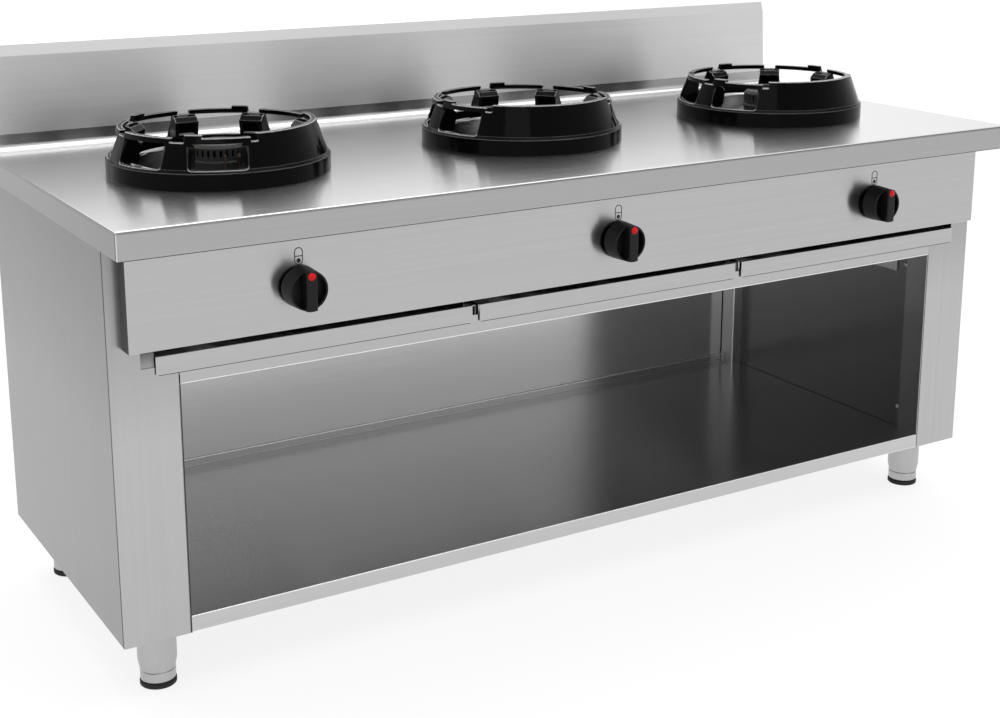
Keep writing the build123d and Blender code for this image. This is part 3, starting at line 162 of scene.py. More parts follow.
class Recipe:
    """One new material, with short ways to add nodes to it."""

    def __init__(self, name, base, roughness, **sockets):
        self.material = bpy.data.materials.new(name)
        self.material.use_nodes = True
        self.material.diffuse_color = (*base, 1.0)
        self.tree = self.material.node_tree
        self.surface = self.tree.nodes["Principled BSDF"]
        self.fill(self.surface, {"Base Color": (*base, 1.0), "Roughness": roughness})
        self.fill(self.surface, {key.replace("_", " "): value for key, value in sockets.items()})
        self.rounded = None
        self.bump = None

    def fill(self, node, inputs):
        """Sets or links the named sockets of a node."""
        for key, value in inputs.items():
            if isinstance(value, bpy.types.NodeSocket):
                self.tree.links.new(value, node.inputs[key])
            else:
                node.inputs[key].default_value = value

    def add(self, kind, inputs, **settings):
        """Adds a node and returns its first output."""
        node = self.tree.nodes.new(kind)
        for key, value in settings.items():
            setattr(node, key, value)
        self.fill(node, inputs)
        return node.outputs[0]

    def place(self, scale):
        """The point on the piece, in metres, stretched by a scale."""
        coordinates = self.tree.nodes.new("ShaderNodeTexCoord")
        return self.add("ShaderNodeMapping", {"Vector": coordinates.outputs["Object"], "Scale": scale})

    def split(self, vector):
        """The X, Y and Z of a vector."""
        node = self.tree.nodes.new("ShaderNodeSeparateXYZ")
        self.fill(node, {0: vector})
        return node.outputs

    def height(self):
        """How high the point lies on the piece, in metres."""
        return self.split(self.place((1.0, 1.0, 1.0)))["Z"]

    def noise(self, scale, detail=2.0):
        """Grey noise with a size of its own along each axis."""
        inputs = {"Vector": self.place(scale), "Scale": 1.0, "Detail": detail}
        return self.add("ShaderNodeTexNoise", inputs)

    def calculate(self, operation, *values):
        """A Math node over its values."""
        return self.add("ShaderNodeMath", dict(enumerate(values)), operation=operation)

    def spread(self, value, low, high, start=0.3, end=0.7):
        """A grey value moved to a new range."""
        inputs = {"Value": value, "From Min": start, "From Max": end, "To Min": low, "To Max": high}
        return self.add("ShaderNodeMapRange", inputs)

    def mix(self, amount, first, second):
        """Colours the surface between two colours by an amount."""
        node = self.tree.nodes.new("ShaderNodeMix")
        node.data_type = "RGBA"
        self.fill(node, {MIX_AMOUNT: amount, MIX_FIRST: first, MIX_SECOND: second})
        self.fill(self.surface, {"Base Color": node.outputs[MIX_RESULT]})

    def tint(self, value, low, high):
        """Turns a grey value into the surface's colour, between two."""
        self.mix(value, (*low, 1.0), (*high, 1.0))

    def base_colour(self):
        """The colour so far: the socket that it comes from, or the plain colour."""
        socket = self.surface.inputs["Base Color"]
        return socket.links[0].from_socket if socket.is_linked else tuple(socket.default_value)

    def shade(self, amount):
        """Multiplies a tinted surface's colour by an amount."""
        inputs = {0: self.base_colour(), "Scale": amount}
        shaded = self.add("ShaderNodeVectorMath", inputs, operation="SCALE")
        self.fill(self.surface, {"Base Color": shaded})

    def shade_faces(self, way, factor):
        """Multiplies the colour by a factor on the faces that look one way: painted shade where the
        factor is below 1, painted light where it is above.
        """
        self.shade(self.spread(self.facing(WAYS[way]), 1.0, factor, **FACING))

    def shade_height(self, low, high, factor):
        """Multiplies the colour by a factor that sets in from a low to a high height, as painted
        shade.
        """
        self.shade(self.spread(self.height(), 1.0, factor, start=low, end=high))

    def rough(self, value):
        """Varies the roughness."""
        self.fill(self.surface, {"Roughness": value})

    def relief(self, value, depth, edge=0.0):
        """Raises the surface by a grey value, and rounds its edges in the shading."""
        inputs = {"Height": value, "Distance": depth, "Strength": 1.0}
        if edge:
            self.rounded = self.add("ShaderNodeBevel", {"Radius": edge}, samples=6)
        if self.rounded:
            inputs["Normal"] = self.rounded
        self.bump = self.add("ShaderNodeBump", inputs)
        self.fill(self.surface, {"Normal": self.bump})

    def painted_edge_highlights(self, shine):
        """Paints a highlight on the rounded edges that look up: a lighter colour there stands in for
        the light that they catch.
        """
        turned = self.spread(self.dot(self.rounded, self.normal()), 1.0, 0.0, start=0.9, end=0.99)
        upward = self.spread(self.dot(self.rounded, AXES["z"]), 0.0, 1.0)
        self.lighten(self.calculate("MULTIPLY", turned, upward), shine)

    def painted_fold_highlights(self, shine, level):
        """Paints a highlight on the bends that look along no axis, the upright ones by a level of
        that.
        """
        x, y, z = (self.calculate("ABSOLUTE", self.facing(axis)) for axis in AXES.values())
        reach = self.calculate("MAXIMUM", self.calculate("MAXIMUM", x, y), z)
        bend = self.spread(reach, 1.0, 0.0, start=0.93, end=0.99)
        rise = self.spread(z, level, 1.0, start=0.05, end=0.2)
        self.lighten(self.calculate("MULTIPLY", bend, rise), shine)

    def lighten(self, amount, shine):
        """Moves the colour towards a grey by an amount."""
        self.mix(amount, self.base_colour(), (shine, shine, shine, 1.0))

    def normal(self):
        """The direction that the surface faces."""
        return self.tree.nodes.new("ShaderNodeNewGeometry").outputs["Normal"]

    def dot(self, first, second):
        """How far two directions agree, from -1 to 1."""
        product = self.add("ShaderNodeVectorMath", {0: first, 1: second}, operation="DOT_PRODUCT")
        return product.node.outputs["Value"]

    def facing(self, direction):
        """How far the surface looks in a direction, from -1 to 1."""
        return self.dot(self.normal(), direction)

    def dull_faces(self, way):
        """Takes the metallic shine off the faces that look one way."""
        metal = self.spread(self.facing(WAYS[way]), 1.0, 0.0, **FACING)
        self.fill(self.surface, {"Metallic": metal})

    def soft_corner(self, low, high, radius):
        """The surface's direction, turned outward along a box's edges as if their radius were wide."""
        _, y, z = self.split(self.place((1.0, 1.0, 1.0)))
        turn, margin = 3.0, 0.0005
        front = self.spread(y, -turn, 0.0, start=low.y, end=low.y + radius)
        top = self.spread(z, 0.0, turn, start=high.z - radius, end=high.z)
        top = self.calculate("MULTIPLY", top, self.calculate("LESS_THAN", z, high.z + margin))
        outward = self.add("ShaderNodeCombineXYZ", {"Y": front, "Z": top})
        total = self.add("ShaderNodeVectorMath", {0: self.normal(), 1: outward})
        return self.add("ShaderNodeVectorMath", {0: total}, operation="NORMALIZE")


def scaled(base, factor):
    """A colour made lighter or darker."""
    return tuple(channel * factor for channel in base)


def sheet_steel(
    name, grain, tone=1.0, roughness=None, anisotropy=None, faces=(), shine=0.8, corners=0.0
):
    """Brushed steel whose lines run along one axis.

    tone lightens or darkens this copy of the steel: lightening is painted light and darkening painted
    shade, for how much light the piece gets. faces lists ways to look, each with a factor that paints
    shade (below 1) or light (above 1) on those faces. shine is the grey of the painted highlight on
    its level bends, and corners says how much of that its upright bends have.
    """
    finish = bpy.context.scene.wokrange_steel
    base = scaled(finish.colour, tone)
    rough = finish.roughness if roughness is None else roughness
    stretch = finish.anisotropy if anisotropy is None else anisotropy
    metal = {"Metallic": 1.0, "Anisotropic": stretch, "Anisotropic_Rotation": ACROSS}
    recipe = Recipe(name, base, rough, **metal)
    along = AXES[grain]
    fine = recipe.noise([BRUSH_ALONG if run else 1.0 / finish.grain for run in along], detail=3.0)
    streaks = recipe.noise([STREAK_ALONG if run else STREAK_ACROSS for run in along], detail=4.0)
    recipe.tint(recipe.spread(streaks, 0.0, 1.0), scaled(base, 0.98), scaled(base, 1.02))
    # Painted shade and light on the faces that look each way.
    for way, factor in faces:
        recipe.shade_faces(way, factor)
    # Painted highlights on the bends, lightened towards the grey of shine.
    if shine:
        recipe.painted_fold_highlights(shine, corners)
    recipe.rough(recipe.spread(fine, rough - 0.02, rough + 0.025))
    recipe.relief(fine, 0.000001)
    direction = recipe.add("ShaderNodeCombineXYZ", {"X": along[0], "Y": along[1], "Z": along[2]})
    recipe.fill(recipe.surface, {"Tangent": direction})
    return recipe


def dress(recipe, *names):
    """Gives CAD nodes their material."""
    for name in names:
        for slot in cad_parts[name].material_slots:
            slot.material = recipe.material


def each(*kinds):
    """The nodes of a kind at the left, middle and right burner."""
    return [f"{side}_{kind}" for kind in kinds for side in SIDES]


def new_piece(name, mesh_maker, material, body):
    """Makes a mesh piece that rides on a body."""
    mesh = bpy.data.meshes.new(name)
    shape = bmesh.new()
    mesh_maker(shape)
    bmesh.ops.remove_doubles(shape, verts=shape.verts, dist=WELD)
    bmesh.ops.recalc_face_normals(shape, faces=shape.faces)
    shape.to_mesh(mesh)
    shape.free()
    piece = bpy.data.objects.new(name, mesh)
    bpy.context.scene.collection.objects.link(piece)
    mesh.materials.append(material)
    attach(piece, body)
    return piece


class WOKRANGE_OT_worktop(bpy.types.Operator):
    """Finish the worktop and the splashback."""

    bl_idname = "wokrange.worktop"
    bl_label = "Worktop and splashback"

    def execute(self, context):
        # The worktop's steel is lightened as painted light, its faces that look sideways, forward and
        # back get painted shade, and its bends painted highlights.
        top = sheet_steel(
            "brushed_worktop",
            "x",
            tone=1.45,
            roughness=0.2,
            anisotropy=0.85,
            faces=(("left", 0.3), ("right", 0.6), ("front", 0.57), ("back", 0.55)),
            shine=0.95,
        )
        low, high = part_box("worktop")
        high.z = WORKTOP_Z
        corner = top.soft_corner(low, high, context.scene.wokrange_steel.fold)
        top.fill(top.bump.node, {"Normal": corner})
        dress(top, "worktop")
        # The splashback is lightened as painted light, with painted shade on its faces that look
        # sideways and back and painted highlights on its bends.
        splash = sheet_steel(
            "brushed_splash",
            "x",
            tone=1.42,
            roughness=0.34,
            faces=(("left", 0.6), ("right", 0.6), ("back", 0.62)),
            shine=0.95,
        )
        dress(splash, "splashback")
        return {"FINISHED"}


class WOKRANGE_OT_cabinet(bpy.types.Operator):
    """Finish the outside of the cabinet."""

    bl_idname = "wokrange.cabinet"
    bl_label = "Cabinet"

    def execute(self, context):
        # Painted shade on the control panel's end faces: the left ends are darkened to a fifth and
        # lose the metal's shine, the right ends to 0.8. The bends of the panel and of the front get
        # painted highlights.
        panel_faces = (("left", 0.2), ("right", 0.8))
        panel = sheet_steel("brushed_panel", "x", tone=0.98, roughness=0.22, faces=panel_faces)
        panel.dull_faces("left")
        panel.fill(panel.surface, {"Specular IOR Level": 0.05})
        dress(panel, "control_panel")
        front = sheet_steel("brushed_front", "x", tone=0.98, roughness=0.22)
        dress(front, "front_rail", *each("drip_tray"))
        # Painted shade on the side panels' faces that look left and right.
        side_faces = (("left", 0.54), ("right", 0.8))
        sides = sheet_steel("brushed_side", "z", roughness=0.2, faces=side_faces)
        # Painted shade on the side panels, darker towards the top under the worktop.
        sides.shade_height(0.43, 0.74, 0.6)
        dress(sides, "left_side_panel", "right_side_panel")
        # The back panel is lightened as painted light, with painted shade on its outside that looks
        # back.
        back = sheet_steel("brushed_back", "x", tone=1.55, roughness=0.2, faces=[("back", 0.55)])
        dress(back, "back_panel")
        self.cover(context.scene.wokrange_steel.colour)
        self.painted_highlight_lines()
        return {"FINISHED"}

    def cover(self, base):
        """Closes what the left tray's lip leaves open of the stile's cut, with a plate behind it,
        whose colour is a painted shade that is darker towards the top.
        """
        low = Vector((-0.8520, -0.2936, 0.5400))
        high = Vector((-0.8262, -0.2926, 0.6000))
        light_z, dark_z = 0.546, 0.576
        painted_shade_plate = Recipe("painted_shade_cover", base, 0.4, Metallic=1.0)
        # Painted shade: the plate darkens from light_z up to dark_z, under the control panel.
        up = painted_shade_plate.spread(painted_shade_plate.height(), 0.0, 1.0, start=light_z, end=dark_z)
        painted_shade_plate.tint(up, scaled(base, 0.8), scaled(base, 0.2))
        painted_shade_plate.rough(painted_shade_plate.spread(painted_shade_plate.noise((400.0, 400.0, 900.0)), 0.35, 0.5))

        def build(shape):
            corners = [(low.x, low.z), (high.x, low.z), (high.x, high.z), (low.x, high.z)]
            plate(shape, corners, low.y, high.y)

        new_piece("left_stile_cover", build, painted_shade_plate.material, "range")

    def painted_highlight_lines(self):
        """Lays bright metal lines on the top edge of the shelf's rear upstand and on the foot of the
        front rail, as painted highlights of these edges.
        """
        # A near-white metal that stands in for the edges' highlights: a painted highlight.
        highlight_paint = Recipe("painted_highlight_edge", (0.9, 0.9, 0.9), 0.3, Metallic=1.0)
        highlight_paint.rough(highlight_paint.spread(highlight_paint.noise((30.0, 900.0, 900.0)), 0.24, 0.36))
        low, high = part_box("bottom_shelf")
        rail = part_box("front_rail")[0]
        inset = 0.002
        # The line's Y and Z, the way that it stands out, its width and its height.
        lines = {
            "shelf_upstand_edge": (high.y - 0.0016, high.z, (0, 0, 1), 0.0026, 0.0016),
            "front_rail_edge": (rail.y, rail.z + 0.0014, (0, -1, 0), 0.0018, 0.0004),
        }
        for name, (y, z, outward, width, height) in lines.items():

            def build(shape):
                ends = (Vector((x, y, z)) for x in (low.x + inset, high.x - inset))
                bead(shape, *ends, Vector(outward), width, height)

            new_piece(name, build, highlight_paint.material, "range")


class WOKRANGE_OT_compartment(bpy.types.Operator):
    """Finish the inside of the open base."""

    bl_idname = "wokrange.compartment"
    bl_label = "Open base"

    def execute(self, context):
        # The shelf is lightened as painted light, more on its faces that look forward, with painted
        # highlights on its bends.
        shelf = sheet_steel(
            "brushed_shelf", "x", tone=1.1, roughness=0.2, faces=[("front", 1.07)], shine=1.0
        )
        dress(shelf, "bottom_shelf")
        # The liners are a darkened copy of the steel, a painted shade inside the open base, with faint
        # painted highlights on their bends.
        dress(sheet_steel("brushed_liner", "z", tone=0.3, roughness=0.2, shine=0.3), "side_liners")
        # The bracing gets painted highlights on all its bends, upright ones too.
        bracing = sheet_steel("brushed_bracing", "z", tone=0.9, shine=1.0, corners=1.0)
        dress(bracing, "shelf_stiffener", "rear_posts", "burner_hangers")
        dress(bracing, "tray_side_rails", "tray_runners")
        return {"FINISHED"}


class WOKRANGE_OT_burners(bpy.types.Operator):
    """Finish the wok rings, bowls, crowns and bodies of the burners."""

    bl_idname = "wokrange.burners"
    bl_label = "Wok rings and burners"

    def execute(self, context):
        finish = context.scene.wokrange_casting
        enamel = Recipe("ring_enamel", finish.enamel, 0.07, Specular_IOR_Level=0.07)
        waves = enamel.noise((55.0, 55.0, 55.0), detail=3.0)
        enamel.rough(enamel.spread(waves, 0.05, 0.11))
        enamel.relief(waves, 0.0003, edge=0.003)
        # Painted highlights on the ring's rounded edges that look up.
        enamel.painted_edge_highlights(1.0)
        dress(enamel, *each("wok_ring"))
        iron = Recipe("cast_iron", finish.iron, 0.55, Metallic=0.35)
        sand = iron.noise((700.0, 700.0, 700.0), detail=4.0)
        iron.tint(iron.spread(sand, 0.0, 1.0), scaled(finish.iron, 0.7), scaled(finish.iron, 1.5))
        iron.rough(iron.spread(sand, 0.42, 0.7))
        iron.relief(sand, 0.00035, edge=0.0008)
        dress(iron, *each("burner_crown", "burner_body"))
        spun = Recipe("bowl_steel", (0.55, 0.55, 0.55), 0.2, Metallic=1.0)
        rings = spun.noise((12.0, 12.0, 500.0), detail=2.0)
        spun.rough(spun.spread(rings, 0.08, 0.16))
        spun.relief(rings, 0.00001, edge=0.0015)
        # Painted highlights on the bowl's rounded edges that look up.
        spun.painted_edge_highlights(1.0)
        dress(spun, *each("burner_bowl"))
        return {"FINISHED"}


class WOKRANGE_OT_gas_line(bpy.types.Operator):
    """Finish the pipes, valves, pilots and the gas inlet."""

    bl_idname = "wokrange.gas_line"
    bl_label = "Gas line"

    def execute(self, context):
        zinc = Recipe("zinc_pipe", (0.50, 0.51, 0.52), 0.45, Metallic=1.0)
        flakes = zinc.noise((160.0, 160.0, 160.0), detail=3.0)
        zinc.tint(zinc.spread(flakes, 0.0, 1.0), (0.40, 0.41, 0.43), (0.58, 0.59, 0.60))
        zinc.rough(zinc.spread(flakes, 0.35, 0.55))
        dress(zinc, "gas_manifold", "manifold_brackets")
        brass = Recipe("brass", (0.66, 0.46, 0.20), 0.3, Metallic=1.0)
        turning = brass.noise((300.0, 1200.0, 300.0), detail=2.0)
        brass.tint(brass.spread(turning, 0.0, 1.0), (0.58, 0.39, 0.16), (0.72, 0.52, 0.25))
        brass.rough(brass.spread(turning, 0.22, 0.4))
        dress(brass, "gas_inlet", "injector_pipes", *each("gas_valve", "tap_cone"))
        stained = Recipe("stained_brass", (0.06, 0.05, 0.04), 0.5, Metallic=1.0)
        heat = stained.noise((90.0, 90.0, 90.0), detail=4.0)
        stained.tint(stained.spread(heat, 0.0, 1.0), (0.035, 0.03, 0.026), (0.10, 0.08, 0.06))
        stained.rough(stained.spread(heat, 0.35, 0.6))
        dress(stained, "pilot_burners")
        copper = Recipe("stained_copper", (0.08, 0.06, 0.05), 0.48, Metallic=1.0)
        sleeve = copper.noise((120.0, 120.0, 120.0), detail=4.0)
        copper.tint(copper.spread(sleeve, 0.0, 1.0), (0.045, 0.036, 0.032), (0.13, 0.09, 0.07))
        copper.rough(copper.spread(sleeve, 0.3, 0.55))
        dress(copper, "thermocouples")
        return {"FINISHED"}


class WOKRANGE_OT_controls(bpy.types.Operator):
    """Finish the knobs, their pointers and spindles."""

    bl_idname = "wokrange.controls"
    bl_label = "Knobs"

    def execute(self, context):
        finish = context.scene.wokrange_controls
        plastic = Recipe("knob_plastic", finish.plastic, 0.45, Specular_IOR_Level=0.22)
        spark = plastic.noise((2600.0, 2600.0, 2600.0), detail=2.0)
        plastic.rough(plastic.spread(spark, 0.36, 0.5))
        plastic.relief(spark, 0.00006, edge=0.0006)
        dress(plastic, *each("knob"))
        pointer = Recipe("pointer_plastic", finish.pointer, 0.3, Specular_IOR_Level=0.2)
        pointer.rough(pointer.spread(pointer.noise((600.0, 600.0, 600.0)), 0.16, 0.28))
        dress(pointer, *each("knob_dot"))
        bright = Recipe("spindle_steel", (0.6, 0.6, 0.6), 0.25, Metallic=1.0)
        bright.rough(bright.spread(bright.noise((900.0, 60.0, 900.0)), 0.18, 0.34))
        dress(bright, *each("valve_spindle"))
        return {"FINISHED"}


class WOKRANGE_OT_legs(bpy.types.Operator):
    """Finish the legs, their inserts and rubber pads."""

    bl_idname = "wokrange.legs"
    bl_label = "Legs"

    def execute(self, context):
        corners = [f"{end}_{side}" for end in ("front", "rear") for side in ("left", "right")]
        inserts = [f"{corner}_leg_insert" for corner in corners]
        dress(sheet_steel("brushed_leg", "z", shine=None), "leg_tubes", *inserts)
        rubber = Recipe("black_rubber", (0.012, 0.012, 0.012), 0.75)
        grain = rubber.noise((1500.0, 1500.0, 1500.0))
        rubber.rough(rubber.spread(grain, 0.65, 0.85))
        rubber.relief(grain, 0.0001)
        dress(rubber, *[f"{corner}_leg_pad" for corner in corners])
        return {"FINISHED"}


def pill(width, height, steps=16):
    """Corners of a flat shape with straight sides and round ends, round the origin in X and Z."""
    radius = width / 2
    straight = height / 2 - radius
    points = []
    for sign, start in ((1, 0.0), (-1, math.pi)):
        for i in range(steps + 1):
            turn = start + math.pi * i / steps
            points.append((radius * math.cos(turn), sign * straight + radius * math.sin(turn)))
    return points


def skin(shape, first, second):
    """Closes the strip between two rings with as many corners."""
    for i, corner in enumerate(first):
        j = (i + 1) % len(first)
        shape.faces.new((corner, second[i], second[j], first[j]))


def band(shape, outer, inner, front, back):
    """A flat band between two loops of X and Z with as many corners, from a front to a back depth."""
    rings = []
    for depth in (front, back):
        for loop in (outer, inner):
            rings.append([shape.verts.new((x, depth, z)) for x, z in loop])
    front_outer, front_inner, back_outer, back_inner = rings
    skin(shape, front_outer, front_inner)
    skin(shape, back_outer, back_inner)
    skin(shape, front_outer, back_outer)
    skin(shape, front_inner, back_inner)


def plate(shape, loop, front, back):
    """A flat plate with the outline of a loop of X and Z."""
    rings = [[shape.verts.new((x, depth, z)) for x, z in loop] for depth in (front, back)]
    for ring in rings:
        shape.faces.new(ring)
    skin(shape, *rings)


def moved(loop, x, z):
    """A loop of X and Z in another place."""
    return [(px + x, pz + z) for px, pz in loop]


class WOKRANGE_OT_marks(bpy.types.Operator):
    """Print the generic burner marks over the knobs: a capsule whose lower half holds a dot."""

    bl_idname = "wokrange.marks"
    bl_label = "Marks over the knobs"

    def execute(self, context):
        finish = context.scene.wokrange_controls
        ink = Recipe("printed_ink", finish.ink, 0.5)
        ink.rough(ink.spread(ink.noise((1200.0, 1200.0, 1200.0)), 0.42, 0.6))
        panel_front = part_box("control_panel")[0].y
        thickness = 0.00012
        line = finish.mark_line
        width, height = finish.mark_width, finish.mark_height
        dot = pill(width * 0.5, width * 0.5)
        for side in SIDES:
            low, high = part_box(f"{side}_knob")
            x = (low.x + high.x) / 2
            z = (low.z + high.z) / 2 + finish.mark_foot + height / 2

            def build(shape):
                front, back = panel_front - thickness, panel_front
                outer = moved(pill(width, height), x, z)
                inner = moved(pill(width - 2 * line, height - 2 * line), x, z)
                band(shape, outer, inner, front, back)
                half = width / 2 - line
                bar = [(-half, -line / 2), (half, -line / 2), (half, line / 2), (-half, line / 2)]
                plate(shape, moved(bar, x, z), front, back)
                plate(shape, moved(dot, x, z - height / 4), front, back)

            new_piece(f"{side}_burner_mark", build, ink.material, "range")
        return {"FINISHED"}


def bead(shape, start, end, outward, width, height, steps=6):
    """A low half-round line from one point to another, standing outward from a face."""
    along = (end - start).normalized()
    across = along.cross(outward)
    turns = [math.pi * i / steps for i in range(steps + 1)]
    rings = []
    for point in (start, end):
        ring = []
        for turn in turns:
            side, rise = math.cos(turn) * width / 2, math.sin(turn) * height
            ring.append(shape.verts.new(point + across * side + outward * rise))
        rings.append(ring)
        shape.faces.new(ring)
    skin(shape, *rings)


class WOKRANGE_OT_joint_lines(bpy.types.Operator):
    """Lay thin dark lines where one sheet meets the next, as painted shadow in the gaps between the
    sheets.
    """

    bl_idname = "wokrange.joint_lines"
    bl_label = "Joint lines"

    def execute(self, context):
        # Near-black lines that stand in for the shade in the gaps: a painted shadow.
        shadow_paint = Recipe("painted_shadow_line", (0.02, 0.02, 0.02), 0.6)
        shadow_paint.rough(shadow_paint.spread(shadow_paint.noise((800.0, 800.0, 800.0)), 0.5, 0.7))
        width, stile_width = 0.0016, 0.0018
        seam_height, head_height, stile_height = 0.0004, 0.0006, 0.0003
        seam_setback, under_apron, past_shelf = 0.0045, 0.0009, 0.0008
        forward = Vector((0, -1, 0))
        rail_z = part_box("front_rail")[0].z
        for side, sign in (("left", -1), ("right", 1)):
            low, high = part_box(f"{side}_side_panel")
            out = Vector((sign, 0, 0))
            face = low.x if sign < 0 else high.x
            inner = sign * (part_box("bottom_shelf")[1].x + past_shelf)
            seam_y = low.y + seam_setback
            head_z = APRON_FOOT_Z - under_apron

            def build(shape):
                seam = (Vector((face, seam_y, z)) for z in (low.z, head_z))
                bead(shape, *seam, out, width, seam_height)
                head = (Vector((face, y, head_z)) for y in (low.y, high.y))
                bead(shape, *head, out, width, head_height)
                stile = (Vector((inner, low.y, z)) for z in (low.z, rail_z))
                bead(shape, *stile, forward, stile_width, stile_height)

            new_piece(f"{side}_joint_lines", build, shadow_paint.material, "range")
        low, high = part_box("worktop")
        low.z = APRON_FOOT_Z
        self.foot_line("front_hem_line", low, high.x, shadow_paint, "range")
        for side in SIDES:
            low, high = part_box(f"{side}_drip_tray")
            self.foot_line(f"{side}_lip_line", low, high.x, shadow_paint, f"{side}_tray")
        return {"FINISHED"}

    def foot_line(self, name, low, right, shadow_paint, body):
        """Lays a painted shadow line under the foot of a front, from its low corner to the right."""
        inset, setback = 0.004, 0.0012
        width, height = 0.0018, 0.0014

        def build(shape):
            ends = (Vector((x, low.y + setback, low.z)) for x in (low.x + inset, right - inset))
            bead(shape, *ends, Vector((0, 0, -1)), width, height)

        new_piece(name, build, shadow_paint.material, body)


def circle(shape, radius, along, origin, steps, depth=None):
    """A ring of corners round an axis along Y. depth may sink a corner along the axis."""
    ring = []
    for i in range(steps):
        turn = 2 * math.pi * i / steps
        x, z = radius * math.cos(turn), radius * math.sin(turn)
        sink = depth(x, z, along) if depth else 0.0
        ring.append(shape.verts.new(origin + Vector((x, along + sink, z))))
    return ring


def lathe(shape, profile, origin, steps, depth=None):
    """Turns a profile of radius and distance round an axis along Y, and returns its rings."""
    rings = [circle(shape, radius, along, origin, steps, depth) for radius, along in profile]
    for first, second in zip(rings, rings[1:]):
        skin(shape, first, second)
    return rings


class WOKRANGE_OT_liner_screws(bpy.types.Operator):
    """Make the cross-recessed pan heads of the screws that hold the side liners."""

    bl_idname = "wokrange.liner_screws"
    bl_label = "Liner screws"

    def execute(self, context):
        steel = Recipe("screw_steel", (0.62, 0.62, 0.62), 0.25, Metallic=1.0)
        steel.rough(steel.spread(steel.noise((900.0, 900.0, 900.0)), 0.2, 0.35))
        low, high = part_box("liner_screws")
        head_radius, head_height, shank, axis_radius = 0.004, 0.002, 0.0019, 0.0001
        slot_half, slot_depth, slot_reach = 0.00045, 0.0011, head_radius * 0.62
        face_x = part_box("side_liners")[1].x - LINER_SHEET
        length = high.x - face_x
        y = (low.y + high.y) / 2
        levels = (low.z + head_radius, high.z - head_radius)
        places = [(side, z) for side in (-1, 1) for z in levels]
        turns = (0, 0.35, 0.7, 1.05, 1.3)
        rim = [(head_radius * math.cos(t), -head_height * math.sin(t) ** 0.8) for t in turns]
        crown = [(head_radius * part, -head_height) for part in (0.24, 0.2, 0.15, 0.1, 0.05, 0.01)]
        profile = [(axis_radius, length), (shank, length), (shank, 0.0), *rim, *crown]

        def recess(u, v, along):
            if along > -head_height * 0.9:
                return 0.0
            arm = min(abs(u), abs(v)) < slot_half and max(abs(u), abs(v)) < slot_reach
            return slot_depth if arm else 0.0

        dense = []
        for (r0, a0), (r1, a1) in zip(profile, profile[1:]):
            dense += [(r0 + (r1 - r0) * i / 4, a0 + (a1 - a0) * i / 4) for i in range(4)]
        dense.append(profile[-1])

        def build(shape):
            for side, z in places:
                rings = lathe(shape, dense, Vector((0, 0, 0)), steps=64, depth=recess)
                shape.faces.new(rings[0])
                shape.faces.new(rings[-1])
                for vert in (vert for ring in rings for vert in ring):
                    u, along, v = vert.co
                    vert.co = Vector((side * (face_x + along), y + u, z + v))

        piece = new_piece("cross_head_screws", build, steel.material, "range")
        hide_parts("liner_screws")
        return {"FINISHED"}


class WOKRANGE_OT_gas_thread(bpy.types.Operator):
    """Make the gas inlet with its hexagons and the real screw thread."""

    bl_idname = "wokrange.gas_thread"
    bl_label = "Gas inlet thread"

    def execute(self, context):
        low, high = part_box("gas_inlet")
        centre = (low + high) / 2
        origin = Vector((centre.x, low.y, centre.z))
        end = high.y - low.y
        hexagon, chamfer, chamfer_share = 0.018, 0.0012, 0.92
        union_end, nut_start, nut_end = 0.020, 0.0215, 0.027
        crest, root, bore, axis_radius = 0.01048, 0.0093, 0.0075, 0.0001
        thread_start, thread_end, pitch = 0.029, 0.049, 0.001814
        inset, shoulder, run_out, nose_step = 0.001, 0.0004, 0.0006, 0.0003
        flank, flat_root = 2.4, 0.1
        steps, per_turn = 72, 10
        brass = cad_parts["left_gas_valve"].material_slots[0].material

        def hex_prism(shape, start, stop):
            levels = (
                (chamfer_share, start),
                (1.0, start + chamfer),
                (1.0, stop - chamfer),
                (chamfer_share, stop),
            )
            rings = lathe(shape, [(hexagon * part, along) for part, along in levels], origin, 6)
            shape.faces.new(rings[0])
            shape.faces.new(rings[-1])

        def thread_ring(shape, along, grown):
            fade = min(1.0, (thread_end + run_out - along) / pitch, grown)
            ring = circle(shape, root, along, origin, steps)
            for i, vert in enumerate(ring):
                phase = ((along - thread_start) / pitch - i / steps) % 1.0
                rise = flank * (0.5 - abs(phase - 0.5)) - flat_root
                height = min(1.0, max(0.0, rise))
                radius = root + (crest - root) * height * fade
                turn = 2 * math.pi * i / steps
                vert.co = origin + Vector((radius * math.cos(turn), along, radius * math.sin(turn)))
            return ring

        def build(shape):
            hex_prism(shape, 0.0, union_end)
            hex_prism(shape, nut_start, nut_end)
            neck = (
                (crest, union_end - inset),
                (crest, nut_end),
                (root, nut_end + shoulder),
                (root, thread_start),
            )
            rings = lathe(shape, neck, origin, steps)
            count = int((thread_end - thread_start) / pitch * per_turn)
            previous = rings[-1]
            for k in range(1, count + 1):
                along = thread_start + (thread_end - thread_start) * k / count
                ring = thread_ring(shape, along, k / per_turn)
                skin(shape, previous, ring)
                previous = ring
            nose = ((root - nose_step, end), (bore, end), (bore, inset), (axis_radius, inset))
            nose_rings = lathe(shape, nose, origin, steps)
            skin(shape, previous, nose_rings[0])
            shape.faces.new(rings[0])
            shape.faces.new(nose_rings[-1])

        piece = new_piece("threaded_gas_inlet", build, brass, "range")
        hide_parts("gas_inlet")
        return {"FINISHED"}


